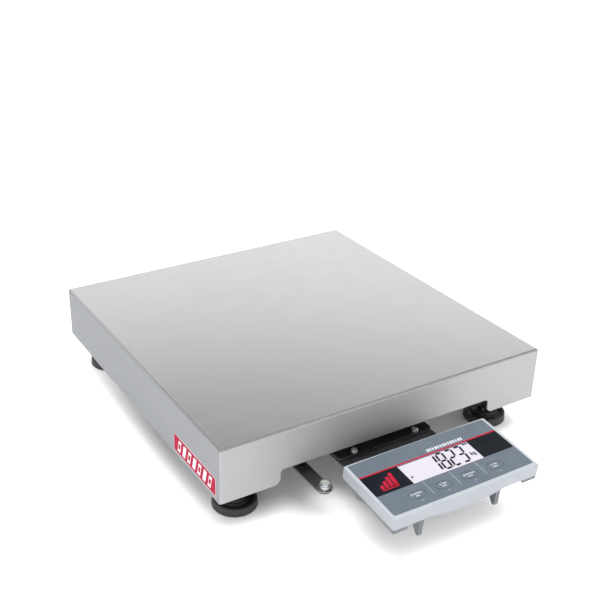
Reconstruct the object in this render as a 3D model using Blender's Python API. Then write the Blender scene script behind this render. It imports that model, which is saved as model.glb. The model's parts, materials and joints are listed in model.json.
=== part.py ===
"""Platform shipping scale: a square stainless pan on a load-cell frame, with a tilting indicator.

Lengths are metres and +Z is up. The pan is square to X and Y, and the indicator stands
in front of it, towards -Y. The scale is drawn about the middle of the pan and then set
back by a parent empty, so that the origin is on the ground under the middle of its box.
"""

from math import cos, pi, radians, sin

import bmesh
import bpy
from mathutils import Vector

GAP = 0.0003                     # left between pieces that touch

# pan
PAN_SIDE = 0.457
PAN_TOP = 0.111
PAN_SHEET = 0.0015
PAN_SKIRT = 0.070
PAN_BEND = 0.003
NOTCH_HALF = 0.151
NOTCH_HEIGHT = 0.019
NOTCH_TOP_RADIUS = 0.005
NOTCH_MOUTH_RADIUS = 0.008
STIFFENER_X = 0.110
STIFFENER = (0.040, 0.340, 0.0082)
STIFFENER_SHEET = 0.0015

# lower frame of folded channels
RAIL_X = 0.1875
RAIL_WIDTH = 0.030
RAIL_HEIGHT = 0.020
RAIL_LENGTH = 0.405
RAIL_BASE = 0.043
RAIL_WALL = 0.0025
FRONT_RAIL_EXTRA = 0.007
BEAM_Y = (-0.080, -0.020)
BEAM_HEIGHT = 0.018

# load cell and its joints
CELL = (0.030, 0.150, 0.026)
CELL_BOLTS = (0.038, 0.062)
SPACER = (0.030, 0.042, 0.003)
LOAD_PLATE = (0.0894, 0.060, 0.006)
CELL_EYE_RADIUS = 0.008
CELL_EYE_Y = 0.017
CELL_SLOT_ANGLE = 22              # degrees, where the slot meets an eye
CELL_HOLE_RADIUS = 0.0043
CELL_HOLE_DEPTH = 0.014
CELL_BOLT_RADIUS = 0.0039
CELL_BOLT_HEAD = 0.0053
CELL_BOLT_SPARE = 0.0006          # between a bolt's tip and the end of its hole

# upper frame
UPPER_HEIGHT = 0.024
UPPER_WALL = 0.002
UPPER_TOP = 0.106
UPPER_BEAM_X = 0.055
UPPER_WIDTH = 0.020
CROSS_LENGTH = 0.394
CORNER_PAD_RADIUS = 0.010
CORNER_PAD_X = 0.185
STOP_X = 0.150
STOP_TOP = 0.0807
STOP_RADIUS = 0.004
STOP_HEX_HEIGHT = 0.0065

# levelling feet, M10
PAD_RADIUS = 0.027
PAD_HEIGHT = 0.0115
STUD_RADIUS = 0.005
STUD_TOP = 0.072
STUD_BOTTOM = 0.0063
STUD_CHAMFER = 0.0008
STUD_HEX_Z = (0.0128, 0.0188)
LOCK_NUT_HEIGHT = 0.008
M10_HEX = 0.017
M8_HEX = 0.013

# plates that carry the indicator
PLATE_SHEET = 0.003
PLATE_HALF = 0.068
PLATE_Y = (-0.2245, -0.175)
PLATE_CORNER = 0.006
ARM_HALF = 0.068
ARM_ROOT = -0.180
ARM_LEAN = 0.0012                 # keeps the cranked stretch as thick as the rest
ARM_SHELF_TOP = 0.030
ARM_END = -0.3205
ARM_BEND_Y = (-0.240, -0.262)
ARM_BOLT = (0.0445, -0.2198)
ARM_BOLT_RADIUS = 0.0042
ARM_BOLT_HEAD = 0.0040
ARM_BOLT_SHANK = 0.0025
ARM_BOLT_LENGTH = 0.0085

# spirit level
LEVEL_X = -0.113
LEVEL_ARM_WIDTH = 0.0165
LEVEL_ARM_END = (-0.2600, -0.1760)
LEVEL_Y = -0.2614
LEVEL_RADIUS = 0.0076
LEVEL_FLANGE_RADIUS = 0.0092
LEVEL_HEIGHT = 0.0082
LEVEL_LIP = 0.0014
LEVEL_SINK = 0.0024

# indicator, about its tilt axis: x to the right, y back along the face, z out of the face
AXIS_Y = -0.3035
AXIS_Z = 0.0495
REST_TILT = radians(5)
FACE_WIDTH = 0.200
FACE_LENGTH = 0.095
FACE_Z = 0.02357
FACE_BACK = 0.03117
FACE_MIDDLE = FACE_BACK - FACE_LENGTH / 2
BEZEL_DEPTH = 0.015
BEZEL_CORNER = 0.0025
BEZEL_EDGE = 0.0014
LIP_HALF = 0.047                  # the front wall dips in an arc between the desk feet
LIP_DEPTH = 0.005
LIP_SHEET = 0.0025
SHELL_WALL = 0.0025
REAR_HALF = 0.0656
REAR_BOTTOM = -0.0124
REAR_SLOPE_Y = -0.012
REAR_SLOPE_TOP = 0.0044
REAR_ROUND = 0.002
FLANGE_SHEET = 0.0020
FLANGE_INSET = 0.0040
FLANGE_CORNER = 0.0020
FLANGE_SLOT_HALF = 0.0105
CHEEK_X = (0.0800, 0.0990)
CHEEK = ((-0.0628, 0.0078), (-0.0628, 0.0036), (-0.0155, 0.0061), (0.0026, 0.0003), (0.0108, 0.0078))
OVERLAY = (0.1912, 0.0868)
OVERLAY_Y = FACE_MIDDLE + 0.0020
OVERLAY_CORNER = 0.0018
OVERLAY_SHEET = 0.0008
OVERLAY_SINK = 0.0003
WINDOW = (0.098, 0.030)
WINDOW_MIDDLE = (0.003, FACE_BACK - 0.0422)
KEY_PITCH = 0.036
KEY_Y = FACE_BACK - 0.0725
KEY = (0.0225, 0.0115)
KEY_DEPTH = 0.0043
DESK_FOOT_X = (0.0505, 0.0565)
DESK_FOOT_Y = (0.0090, 0.0125, 0.0338)
DESK_FOOT_Z = (0.0055, -0.0234)
EAR_X = 0.0662
EAR_SHEET = 0.002
EAR_RADIUS = 0.0055
EAR_SHOULDER = 0.006
EAR_HOLE_RADIUS = 0.0029
BRACKET_HALF = 0.014
PIVOT_BOSS_RADIUS = 0.0055
PIVOT_HOLE_RADIUS = 0.0028
KNOB_RADIUS = 0.008
KNOB_FLUTE = 0.0004
KNOB_X = (0.0686, 0.0767)
KNOB_SHANK_RADIUS = 0.0025
KNOB_SHANK_START = 0.0608
INLET_X = 0.045
INLET_Z = -0.003
INLET_RADIUS = 0.0045

# worked out
PAN_HALF = PAN_SIDE / 2
SKIRT_BOTTOM = PAN_TOP - PAN_SKIRT
SHEET_UNDER = PAN_TOP - PAN_SHEET
RAIL_TOP = RAIL_BASE + RAIL_HEIGHT
BEAM_TOP = RAIL_BASE + BEAM_HEIGHT
CELL_BOTTOM = BEAM_TOP + SPACER[2] + 2 * GAP
CELL_TOP = CELL_BOTTOM + CELL[2]
UPPER_BASE = UPPER_TOP - UPPER_HEIGHT
LOAD_PLATE_BOTTOM = CELL_TOP + SPACER[2] + 2 * GAP
PLATE_TOP = RAIL_BASE - GAP
FACE_FRONT = FACE_BACK - FACE_LENGTH
FRONT_REACH = AXIS_Y + FACE_FRONT * cos(REST_TILT) - (FACE_Z - BEZEL_EDGE) * sin(REST_TILT)
SET_BACK = -(PAN_HALF + FRONT_REACH) / 2

COLOURS = {
    "stainless": ((0.70, 0.71, 0.73), 0.32, 1.0),
    "frame_black": ((0.020, 0.020, 0.022), 0.45, 0.3),
    "zinc_steel": ((0.62, 0.62, 0.60), 0.35, 1.0),
    "black_oxide": ((0.030, 0.030, 0.032), 0.40, 0.6),
    "cell_aluminium": ((0.72, 0.73, 0.75), 0.40, 1.0),
    "black_rubber": ((0.018, 0.018, 0.019), 0.75, 0.0),
    "light_plastic": ((0.55, 0.58, 0.62), 0.45, 0.0),
    "dark_plastic": ((0.030, 0.032, 0.036), 0.50, 0.0),
    "overlay_print": ((0.20, 0.24, 0.29), 0.35, 0.0),
    "lcd_glass": ((0.80, 0.76, 0.82), 0.12, 0.0),
    "key_membrane": ((0.62, 0.66, 0.70), 0.40, 0.0),
    "chrome": ((0.85, 0.85, 0.87), 0.08, 1.0),
    "level_glass": ((0.72, 0.86, 0.42), 0.05, 0.0),
}


def material(slot):
    """The shared Principled material of one slot, made on first use."""
    found = bpy.data.materials.get(slot)
    if found:
        return found
    colour, roughness, metallic = COLOURS[slot]
    made = bpy.data.materials.new(slot)
    made.use_nodes = True
    shader = made.node_tree.nodes["Principled BSDF"]
    shader.inputs["Base Color"].default_value = (*colour, 1.0)
    shader.inputs["Roughness"].default_value = roughness
    shader.inputs["Metallic"].default_value = metallic
    return made


def empty(name, location, parent=None, tilt=0.0):
    """A parent empty, which may be tilted about X."""
    made = bpy.data.objects.new(name, None)
    made.location = location
    made.rotation_euler = (tilt, 0.0, 0.0)
    made.parent = parent
    bpy.context.scene.collection.objects.link(made)
    return made


def piece(name, shape, slot="", parent=None, location=(0.0, 0.0, 0.0)):
    """An object made from a bmesh, with its slot's material and outward faces."""
    bmesh.ops.recalc_face_normals(shape, faces=shape.faces)
    mesh = bpy.data.meshes.new(name)
    shape.to_mesh(mesh)
    shape.free()
    made = bpy.data.objects.new(name, mesh)
    bpy.context.scene.collection.objects.link(made)
    made.parent = parent
    made.location = location
    if slot:
        mesh.materials.append(material(slot))
    return made


def finish(made, sharp=35):
    """Shade the round stretches of a piece smooth and keep its real edges."""
    made.data.shade_smooth()
    made.data.set_sharp_from_angle(angle=radians(sharp))
    return made


def combine(made, other, operation):
    """Cut a helper shape from a piece, or weld it on, and take the helper away."""
    other.parent = made.parent
    other.location = made.location
    step = made.modifiers.new(operation.lower(), "BOOLEAN")
    step.operation = operation
    step.object = other
    bpy.context.view_layer.update()
    seen = made.evaluated_get(bpy.context.evaluated_depsgraph_get())
    old = made.data
    made.data = bpy.data.meshes.new_from_object(seen)
    made.modifiers.clear()
    bpy.data.meshes.remove(old)
    helper = other.data
    bpy.data.objects.remove(other)
    bpy.data.meshes.remove(helper)


def cut(made, shape):
    combine(made, piece("cutter", shape), "DIFFERENCE")


def weld(made, shape):
    combine(made, piece("addition", shape), "UNION")


def arc(centre, radius, start, end, steps):
    """Points along an arc, with its angles in degrees."""
    turn = [radians(start + (end - start) * i / steps) for i in range(steps + 1)]
    return [(centre[0] + radius * cos(a), centre[1] + radius * sin(a)) for a in turn]


def rounded_rectangle(low, high, radius, steps=4):
    """An outline with four round corners, anticlockwise."""
    inner = (low[0] + radius, low[1] + radius, high[0] - radius, high[1] - radius)
    corners = (
        ((inner[2], inner[3]), 0),
        ((inner[0], inner[3]), 90),
        ((inner[0], inner[1]), 180),
        ((inner[2], inner[1]), 270),
    )
    outline = []
    for centre, start in corners:
        outline += arc(centre, radius, start, start + 90, steps)
    return outline


def ellipse(middle, size, steps=24):
    """An oval outline from its middle and its two widths."""
    turn = [2 * pi * i / steps for i in range(steps)]
    return [(middle[0] + size[0] / 2 * cos(a), middle[1] + size[1] / 2 * sin(a)) for a in turn]


def hexagon(across_flats):
    return ellipse((0, 0), (across_flats / cos(pi / 6),) * 2, 6)


def prism(outline, low, high, along="z"):
    """A closed outline swept straight along one axis.

    The outline's two numbers are x, y along z; x, z along y; and y, z along x.
    """
    order = {"z": lambda a, b, c: (a, b, c), "y": lambda a, b, c: (a, c, b), "x": lambda a, b, c: (c, a, b)}
    shape = bmesh.new()
    ends = []
    for level in (low, high):
        ends.append([shape.verts.new(order[along](a, b, level)) for a, b in outline])
    shape.faces.new(ends[0])
    shape.faces.new(ends[1][::-1])
    count = len(outline)
    for i in range(count):
        j = (i + 1) % count
        shape.faces.new((ends[0][i], ends[0][j], ends[1][j], ends[1][i]))
    return shape


def block(low, high):
    """A plain box between two corners."""
    outline = [(low[0], low[1]), (high[0], low[1]), (high[0], high[1]), (low[0], high[1])]
    return prism(outline, low[2], high[2])


def round_edges(shape, wanted, radius, steps):
    """Round those edges of a shape whose two ends both pass a test."""
    edges = [e for e in shape.edges if all(wanted(v.co) for v in e.verts)]
    bmesh.ops.bevel(shape, geom=edges, offset=radius, segments=steps, profile=0.5, affect="EDGES")


def turned(profile, segments=28, along="z"):
    """A closed profile of radius and height, turned about an axis.

    A profile that starts and ends on the axis makes a solid; any other makes a ring.
    """
    shape = bmesh.new()
    rings = []
    for radius, height in profile:
        count = segments if radius > 0 else 1
        ring = []
        for i in range(count):
            a = 2 * pi * i / segments
            point = Vector((radius * cos(a), radius * sin(a), height))
            if along == "x":
                point = Vector((point.z, point.x, point.y))
            if along == "y":
                point = Vector((point.x, point.z, point.y))
            ring.append(shape.verts.new(point))
        rings.append(ring)
    pairs = list(zip(rings, rings[1:]))
    if profile[0][0] > 0:
        pairs.append((rings[-1], rings[0]))
    for first, second in pairs:
        for i in range(segments):
            j = (i + 1) % segments
            corners = [first[i % len(first)], first[j % len(first)]]
            corners += [second[j % len(second)], second[i % len(second)]]
            distinct = list(dict.fromkeys(corners))
            if len(distinct) > 2:
                shape.faces.new(distinct)
    return shape


def rod(radius, low, high, segments=20, along="z"):
    """A plain round bar."""
    return turned([(0, low), (radius, low), (radius, high), (0, high)], segments, along)


def moved(shape, offset):
    bmesh.ops.translate(shape, vec=offset, verts=shape.verts)
    return shape


def channel(low, high, wall, along):
    """A folded channel that is open underneath, between two corners."""
    first, last = (0, 1) if along == "y" else (1, 0)
    a, b, base, top = low[first], high[first], low[2], high[2]
    outline = [(a, base), (a + wall, base), (a + wall, top - wall), (b - wall, top - wall)]
    outline += [(b - wall, base), (b, base), (b, top), (a, top)]
    return prism(outline, low[last], high[last], along)


def corner_names():
    """The four corners with their signs in x and y."""
    for back, y in (("front", -1), ("rear", 1)):
        for side, x in (("left", -1), ("right", 1)):
            yield f"{back}_{side}", x, y


def side_names():
    yield "left", -1
    yield "right", 1


def notch_outline():
    """The front notch with round inner corners and a flared mouth, as x and z."""
    top = SKIRT_BOTTOM + NOTCH_HEIGHT
    below = SKIRT_BOTTOM - 0.004
    mouth = NOTCH_MOUTH_RADIUS
    half = arc((NOTCH_HALF + mouth, SKIRT_BOTTOM + mouth), mouth, 270, 180, 5)
    inner = NOTCH_TOP_RADIUS
    half += arc((NOTCH_HALF - inner, top - inner), inner, 0, 90, 4)
    right = [(NOTCH_HALF + mouth, below)] + half
    return right + [(-x, z) for x, z in reversed(right)]


def build_pan(parent):
    """The folded stainless pan with its notch, and the two stiffeners under its top."""
    outer = block((-PAN_HALF, -PAN_HALF, SKIRT_BOTTOM), (PAN_HALF, PAN_HALF, PAN_TOP))
    round_edges(outer, lambda p: p.z > PAN_TOP - GAP, PAN_BEND, 3)
    pan = piece("platform_pan", outer, "stainless", parent)
    inner = PAN_HALF - PAN_SHEET
    hollow = block((-inner, -inner, SKIRT_BOTTOM - 0.010), (inner, inner, SHEET_UNDER))
    round_edges(hollow, lambda p: p.z > SHEET_UNDER - GAP, PAN_BEND - PAN_SHEET, 2)
    cut(pan, hollow)
    cut(pan, prism(notch_outline(), -PAN_HALF - 0.010, -PAN_HALF + 0.010, "y"))
    finish(pan)
    width, length, height = STIFFENER
    top = SHEET_UNDER - GAP
    for side, x in side_names():
        low = (x * STIFFENER_X - width / 2, -length / 2, top - height)
        high = (x * STIFFENER_X + width / 2, length / 2, top)
        piece(f"pan_stiffener_{side}", channel(low, high, STIFFENER_SHEET, "y"), "stainless", parent)


def build_rails(parent):
    """The lower frame: two side rails, a front and a rear rail, and the beam under the cell."""
    half = RAIL_WIDTH / 2
    for side, x in side_names():
        low = (x * RAIL_X - half, -RAIL_LENGTH / 2, RAIL_BASE)
        high = (x * RAIL_X + half, RAIL_LENGTH / 2, RAIL_TOP)
        rail = piece(f"side_rail_{side}", channel(low, high, RAIL_WALL, "y"), "frame_black", parent)
        for y in (-RAIL_X, RAIL_X):
            cut(rail, moved(rod(STUD_RADIUS + GAP, RAIL_BASE, RAIL_TOP + GAP), (x * RAIL_X, y, 0)))
    inner = RAIL_X - half - GAP
    for name, near, far in (("front", -RAIL_X - half - FRONT_RAIL_EXTRA, half - RAIL_X),
                            ("rear", RAIL_X - half, RAIL_X + half)):
        rail = channel((-inner, near, RAIL_BASE), (inner, far, RAIL_TOP), RAIL_WALL, "x")
        piece(f"{name}_rail", rail, "frame_black", parent)
    low = (-inner, BEAM_Y[0], RAIL_BASE)
    high = (inner, BEAM_Y[1], BEAM_TOP)
    beam = piece("cell_beam", channel(low, high, RAIL_WALL, "x"), "frame_black", parent)
    for y in CELL_BOLTS:
        cut(beam, moved(rod(CELL_HOLE_RADIUS, RAIL_BASE, BEAM_TOP + GAP), (0, -y, 0)))


def build_feet(parent):
    """Four swivel feet: a pad on the ground, a threaded stud with a hex, and a lock nut."""
    rim, socket = PAD_RADIUS, STUD_RADIUS + 0.0006
    pad = [(0, 0), (rim - 0.0025, 0), (rim - 0.0008, 0.0008), (rim, 0.0025)]
    pad += [(rim, PAD_HEIGHT - 0.0020), (rim - 0.0012, PAD_HEIGHT), (rim - 0.0035, PAD_HEIGHT)]
    pad += [(rim - 0.0045, 0.0092), (0.0125, 0.0088), (0.0115, 0.0118), (0.0070, 0.0124)]
    pad += [(socket, 0.0118), (socket, STUD_BOTTOM - GAP), (0, STUD_BOTTOM - GAP)]
    tip = STUD_RADIUS - STUD_CHAMFER
    shaft = [(0, STUD_BOTTOM), (STUD_RADIUS, STUD_BOTTOM), (STUD_RADIUS, STUD_TOP - STUD_CHAMFER)]
    shaft += [(tip, STUD_TOP), (0, STUD_TOP)]
    nut_top = RAIL_TOP - RAIL_WALL - GAP
    nut_base = nut_top - LOCK_NUT_HEIGHT
    for corner, x, y in corner_names():
        place = (x * RAIL_X, y * RAIL_X, 0)
        finish(piece(f"foot_pad_{corner}", turned(pad, 30), "black_rubber", parent, place))
        stud = piece(f"foot_stud_{corner}", turned(shaft, 18), "black_oxide", parent, place)
        weld(stud, prism(hexagon(M10_HEX), *STUD_HEX_Z))
        finish(stud)
        hexed = prism(hexagon(M10_HEX), nut_base, nut_top)
        nut = piece(f"lock_nut_{corner}", hexed, "black_oxide", parent, place)
        cut(nut, rod(STUD_RADIUS + GAP, nut_base - 0.002, nut_top + 0.002, 18))
        finish(nut)


def cell_outline():
    """The load cell's side view hollow: two round eyes joined by a slot, as y and z."""
    middle = CELL_BOTTOM + CELL[2] / 2
    front = arc((-CELL_EYE_Y, middle), CELL_EYE_RADIUS, CELL_SLOT_ANGLE, 360 - CELL_SLOT_ANGLE, 14)
    rear = arc((CELL_EYE_Y, middle), CELL_EYE_RADIUS, 180 + CELL_SLOT_ANGLE, 540 - CELL_SLOT_ANGLE, 14)
    return front + rear


def build_load_cell(parent):
    """The single-point cell on its lower spacer, and its two lower bolts."""
    width, length, _ = CELL
    body = block((-width / 2, -length / 2, CELL_BOTTOM), (width / 2, length / 2, CELL_TOP))
    cell = piece("load_cell", body, "cell_aluminium", parent)
    cut(cell, prism(cell_outline(), -width, width, "x"))
    for y in CELL_BOLTS:
        lower = rod(CELL_HOLE_RADIUS, CELL_BOTTOM - 0.002, CELL_BOTTOM + CELL_HOLE_DEPTH, 18)
        upper = rod(CELL_HOLE_RADIUS, CELL_TOP - CELL_HOLE_DEPTH, CELL_TOP + 0.002, 18)
        cut(cell, moved(lower, (0, -y, 0)))
        cut(cell, moved(upper, (0, y, 0)))
    finish(cell)
    spacer(parent, "cell_spacer_lower", -1, BEAM_TOP + GAP)
    head = BEAM_TOP - RAIL_WALL - GAP
    length = CELL_BOTTOM + CELL_HOLE_DEPTH - CELL_BOLT_SPARE - head
    for order, y in zip(("inner", "outer"), CELL_BOLTS):
        cell_bolt(f"cell_bolt_lower_{order}", parent, (0, -y, head), length, -1)


def spacer(parent, name, end, bottom):
    """The plate between an end of the cell and what it is bolted to."""
    width, length, height = SPACER
    middle = end * sum(CELL_BOLTS) / 2
    low = (-width / 2, middle - length / 2, bottom)
    high = (width / 2, middle + length / 2, bottom + height)
    made = piece(name, block(low, high), "zinc_steel", parent)
    for y in CELL_BOLTS:
        hole = rod(CELL_HOLE_RADIUS, bottom - 0.001, bottom + height + 0.001, 18)
        cut(made, moved(hole, (0, end * y, 0)))
    finish(made)


def cell_bolt(name, parent, place, length, up):
    """An M8 hex bolt. Its head is below the origin when up is -1 and above it when up is 1."""
    bolt = piece(name, prism(hexagon(M8_HEX), 0, up * CELL_BOLT_HEAD), "zinc_steel", parent, place)
    weld(bolt, rod(CELL_BOLT_RADIUS, up * 0.002, -up * length, 18))
    finish(bolt)


def build_upper_frame(parent):
    """What the cell carries: spacer, load plate, two beams, two cross rails and rubber pads."""
    spacer(parent, "cell_spacer_upper", 1, CELL_TOP + GAP)
    width, length, height = LOAD_PLATE
    middle = sum(CELL_BOLTS) / 2
    low = (-width / 2, middle - length / 2, LOAD_PLATE_BOTTOM)
    high = (width / 2, middle + length / 2, LOAD_PLATE_BOTTOM + height)
    plate = piece("load_plate", block(low, high), "frame_black", parent)
    for y in CELL_BOLTS:
        cut(plate, moved(rod(CELL_HOLE_RADIUS, low[2] - 0.001, high[2] + 0.001, 18), (0, y, 0)))
    finish(plate)
    head = high[2] + GAP
    length = head - CELL_TOP + CELL_HOLE_DEPTH - CELL_BOLT_SPARE
    for order, y in zip(("inner", "outer"), CELL_BOLTS):
        cell_bolt(f"cell_bolt_upper_{order}", parent, (0, y, head), length, 1)
    half = UPPER_WIDTH / 2
    reach = RAIL_X - half - GAP
    for side, x in side_names():
        low = (x * UPPER_BEAM_X - half, -reach, UPPER_BASE)
        high = (x * UPPER_BEAM_X + half, reach, UPPER_TOP)
        piece(f"upper_beam_{side}", channel(low, high, UPPER_WALL, "y"), "frame_black", parent)
    for name, y in (("front", -1), ("rear", 1)):
        low = (-CROSS_LENGTH / 2, y * RAIL_X - half, UPPER_BASE)
        high = (CROSS_LENGTH / 2, y * RAIL_X + half, UPPER_TOP)
        piece(f"cross_rail_{name}", channel(low, high, UPPER_WALL, "x"), "frame_black", parent)
    pad_top = SHEET_UNDER - GAP
    pad_low = UPPER_TOP + GAP
    profile = [(0, pad_low), (CORNER_PAD_RADIUS, pad_low), (CORNER_PAD_RADIUS, pad_top - 0.0008)]
    profile += [(CORNER_PAD_RADIUS - 0.0008, pad_top), (0, pad_top)]
    for corner, x, y in corner_names():
        place = (x * CORNER_PAD_X, y * RAIL_X, 0)
        finish(piece(f"corner_pad_{corner}", turned(profile, 20), "black_rubber", parent, place))


def build_overload_stops(parent):
    """Four set screws on the lower frame that stop the upper frame a millimetre down."""
    base = RAIL_TOP + GAP
    profile = [(0, base), (STOP_RADIUS, base), (STOP_RADIUS, STOP_TOP - 0.0006)]
    profile += [(STOP_RADIUS - 0.0006, STOP_TOP), (0, STOP_TOP)]
    for corner, x, y in corner_names():
        place = (x * STOP_X, y * RAIL_X, 0)
        stop = piece(f"overload_stop_{corner}", turned(profile, 18), "zinc_steel", parent, place)
        weld(stop, prism(hexagon(M8_HEX), base, base + STOP_HEX_HEIGHT))
        finish(stop)


def arm_outline():
    """Side view of the cranked arm, as y and z."""
    top = PLATE_TOP - PLATE_SHEET - GAP
    near, far = ARM_BEND_Y
    upper = [(ARM_ROOT, top), (near, top), (far, ARM_SHELF_TOP), (ARM_END, ARM_SHELF_TOP)]
    under = ARM_SHELF_TOP - PLATE_SHEET
    lower = [(ARM_END, under), (far + ARM_LEAN, under)]
    lower += [(near + ARM_LEAN, top - PLATE_SHEET), (ARM_ROOT, top - PLATE_SHEET)]
    return upper + lower


def build_carrier(parent):
    """The plate under the front rail, the cranked arm below it, and their two screws."""
    outline = rounded_rectangle((-PLATE_HALF, PLATE_Y[0]), (PLATE_HALF, PLATE_Y[1]), PLATE_CORNER)
    plate = piece("mount_plate", prism(outline, PLATE_TOP - PLATE_SHEET, PLATE_TOP), "frame_black", parent)
    arm = piece("indicator_arm", prism(arm_outline(), -ARM_HALF, ARM_HALF, "x"), "frame_black", parent)
    shank, head, top = ARM_BOLT_SHANK, ARM_BOLT_RADIUS, ARM_BOLT_HEAD
    screw = [(0, -ARM_BOLT_LENGTH), (shank, -ARM_BOLT_LENGTH), (shank, 0), (head, 0)]
    screw += [(head, top - 0.0005), (head - 0.0005, top), (0.0022, top)]
    screw += [(0.0020, top - 0.0020), (0, top - 0.0020)]
    for side, x in side_names():
        place = (x * ARM_BOLT[0], ARM_BOLT[1], PLATE_TOP + GAP)
        for sheet in (plate, arm):
            hole = rod(shank + GAP, ARM_SHELF_TOP, RAIL_TOP, 16)
            cut(sheet, moved(hole, (place[0], place[1], 0)))
        finish(piece(f"arm_bolt_{side}", turned(screw, 16), "zinc_steel", parent, place))
    finish(plate)
    finish(arm)


def build_level(parent):
    """The spirit level in its chromed cup, on a flat arm under the front rail."""
    half = LEVEL_ARM_WIDTH / 2
    tip, root = LEVEL_ARM_END
    outline = arc((LEVEL_X, tip), half, 180, 360, 10)
    outline += [(LEVEL_X + half, root), (LEVEL_X - half, root)]
    finish(piece("level_arm", prism(outline, PLATE_TOP - PLATE_SHEET, PLATE_TOP), "frame_black", parent))
    base = PLATE_TOP + GAP
    top = base + LEVEL_HEIGHT
    flange, wall = LEVEL_FLANGE_RADIUS, LEVEL_RADIUS
    lip = wall - LEVEL_LIP
    floor = top - LEVEL_SINK
    cup = [(0, base), (flange, base), (flange, base + 0.0012), (wall, base + 0.0022), (wall, top - 0.0008)]
    cup += [(wall - 0.0008, top), (lip, top), (lip, floor), (0, floor)]
    place = (LEVEL_X, LEVEL_Y, 0)
    finish(piece("level_cup", turned(cup, 24), "chrome", parent, place))
    pane = lip - GAP
    glass = [(0, floor + GAP), (pane, floor + GAP), (pane, top - 0.0007), (pane / 2, top - 0.0002), (0, top)]
    finish(piece("level_window", turned(glass, 24), "level_glass", parent, place))


def build_tilt_bracket(parent):
    """The U bracket that the indicator tilts in, drawn about the tilt axis but not tilted."""
    base = ARM_SHELF_TOP + GAP - AXIS_Z
    outer = EAR_X + EAR_SHEET
    low = (-outer, -BRACKET_HALF, base)
    high = (outer, BRACKET_HALF, base + EAR_SHEET)
    bracket = piece("tilt_bracket", block(low, high), "frame_black", parent)
    ear = [(BRACKET_HALF, base), (BRACKET_HALF, base + EAR_SHOULDER)]
    ear += arc((0, 0), EAR_RADIUS, 0, 180, 8)
    ear += [(-BRACKET_HALF, base + EAR_SHOULDER), (-BRACKET_HALF, base)]
    for _, x in side_names():
        start, end = sorted((x * EAR_X, x * outer))
        weld(bracket, prism(ear, start, end, "x"))
        cut(bracket, rod(EAR_HOLE_RADIUS, start - 0.001, end + 0.001, 16, "x"))
    finish(bracket)


def face_outline(width, length, middle_y, radius):
    return rounded_rectangle((-width / 2, middle_y - length / 2), (width / 2, middle_y + length / 2), radius)


def key_middles():
    for number in range(4):
        yield number + 1, (number - 1.5) * KEY_PITCH


def lip_outline():
    """The arc under the bezel's front wall, as x and z."""
    bottom = FACE_Z - BEZEL_DEPTH
    steps = 16
    outline = [(LIP_HALF, bottom + 0.002), (-LIP_HALF, bottom + 0.002)]
    for i in range(steps + 1):
        t = 2 * i / steps - 1
        outline.append((LIP_HALF * t, bottom - LIP_DEPTH * (1 - t * t)))
    return outline


def build_front_housing(parent):
    """The light bezel, with a sunk face for the overlay and openings for display and keys."""
    outline = face_outline(FACE_WIDTH, FACE_LENGTH, FACE_MIDDLE, BEZEL_CORNER)
    outer = prism(outline, FACE_Z - BEZEL_DEPTH, FACE_Z)
    round_edges(outer, lambda p: p.z > FACE_Z - GAP, BEZEL_EDGE, 3)
    bezel = piece("front_housing", outer, "light_plastic", parent)
    weld(bezel, prism(lip_outline(), FACE_FRONT, FACE_FRONT + LIP_SHEET, "y"))
    floor = FACE_Z - OVERLAY_SINK - OVERLAY_SHEET - GAP
    sink = face_outline(OVERLAY[0] + 2 * GAP, OVERLAY[1] + 2 * GAP, OVERLAY_Y, OVERLAY_CORNER)
    cut(bezel, prism(sink, floor, FACE_Z + 0.002))
    cavity = face_outline(FACE_WIDTH - 0.026, FACE_LENGTH - 0.018, FACE_MIDDLE, 0.004)
    cut(bezel, prism(cavity, FACE_Z - BEZEL_DEPTH - 0.002, floor - SHELL_WALL))
    cut_face_openings(bezel, floor - 0.004, floor + 0.002)
    finish(bezel)


def cut_face_openings(made, low, high):
    """Cut the display window and the four key ovals through a piece of the face."""
    x, y = WINDOW_MIDDLE
    a, b = WINDOW[0] / 2 + GAP, WINDOW[1] / 2 + GAP
    cut(made, block((x - a, y - b, low), (x + a, y + b, high)))
    for _, x in key_middles():
        cut(made, prism(ellipse((x, KEY_Y), (KEY[0] + 2 * GAP, KEY[1] + 2 * GAP)), low, high))


def build_face(parent):
    """The printed overlay, the display panel in its window, and the four keys."""
    top = FACE_Z - OVERLAY_SINK
    sheet = prism(face_outline(*OVERLAY, OVERLAY_Y, OVERLAY_CORNER), top - OVERLAY_SHEET, top)
    overlay = piece("keypad_overlay", sheet, "overlay_print", parent)
    cut_face_openings(overlay, top - 0.003, top + 0.002)
    finish(overlay)
    x, y = WINDOW_MIDDLE
    a, b = WINDOW[0] / 2, WINDOW[1] / 2
    panel = block((x - a, y - b, top - 0.006), (x + a, y + b, top - 0.0001))
    piece("display_panel", panel, "lcd_glass", parent)
    for number, x in key_middles():
        key = prism(ellipse((0, 0), KEY), -KEY_DEPTH, 0)
        round_edges(key, lambda p: p.z > -GAP, 0.0004, 1)
        finish(piece(f"key_{number}", key, "key_membrane", parent, (x, KEY_Y, FACE_Z - 0.0001)))


def wedge(front, back, bottom, rise, slope_y, top):
    """Side outline of the rear housing: flat below the axis, rising to its front edge."""
    return [(front, top), (front, rise), (slope_y, bottom), (back, bottom), (back, top)]


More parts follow.
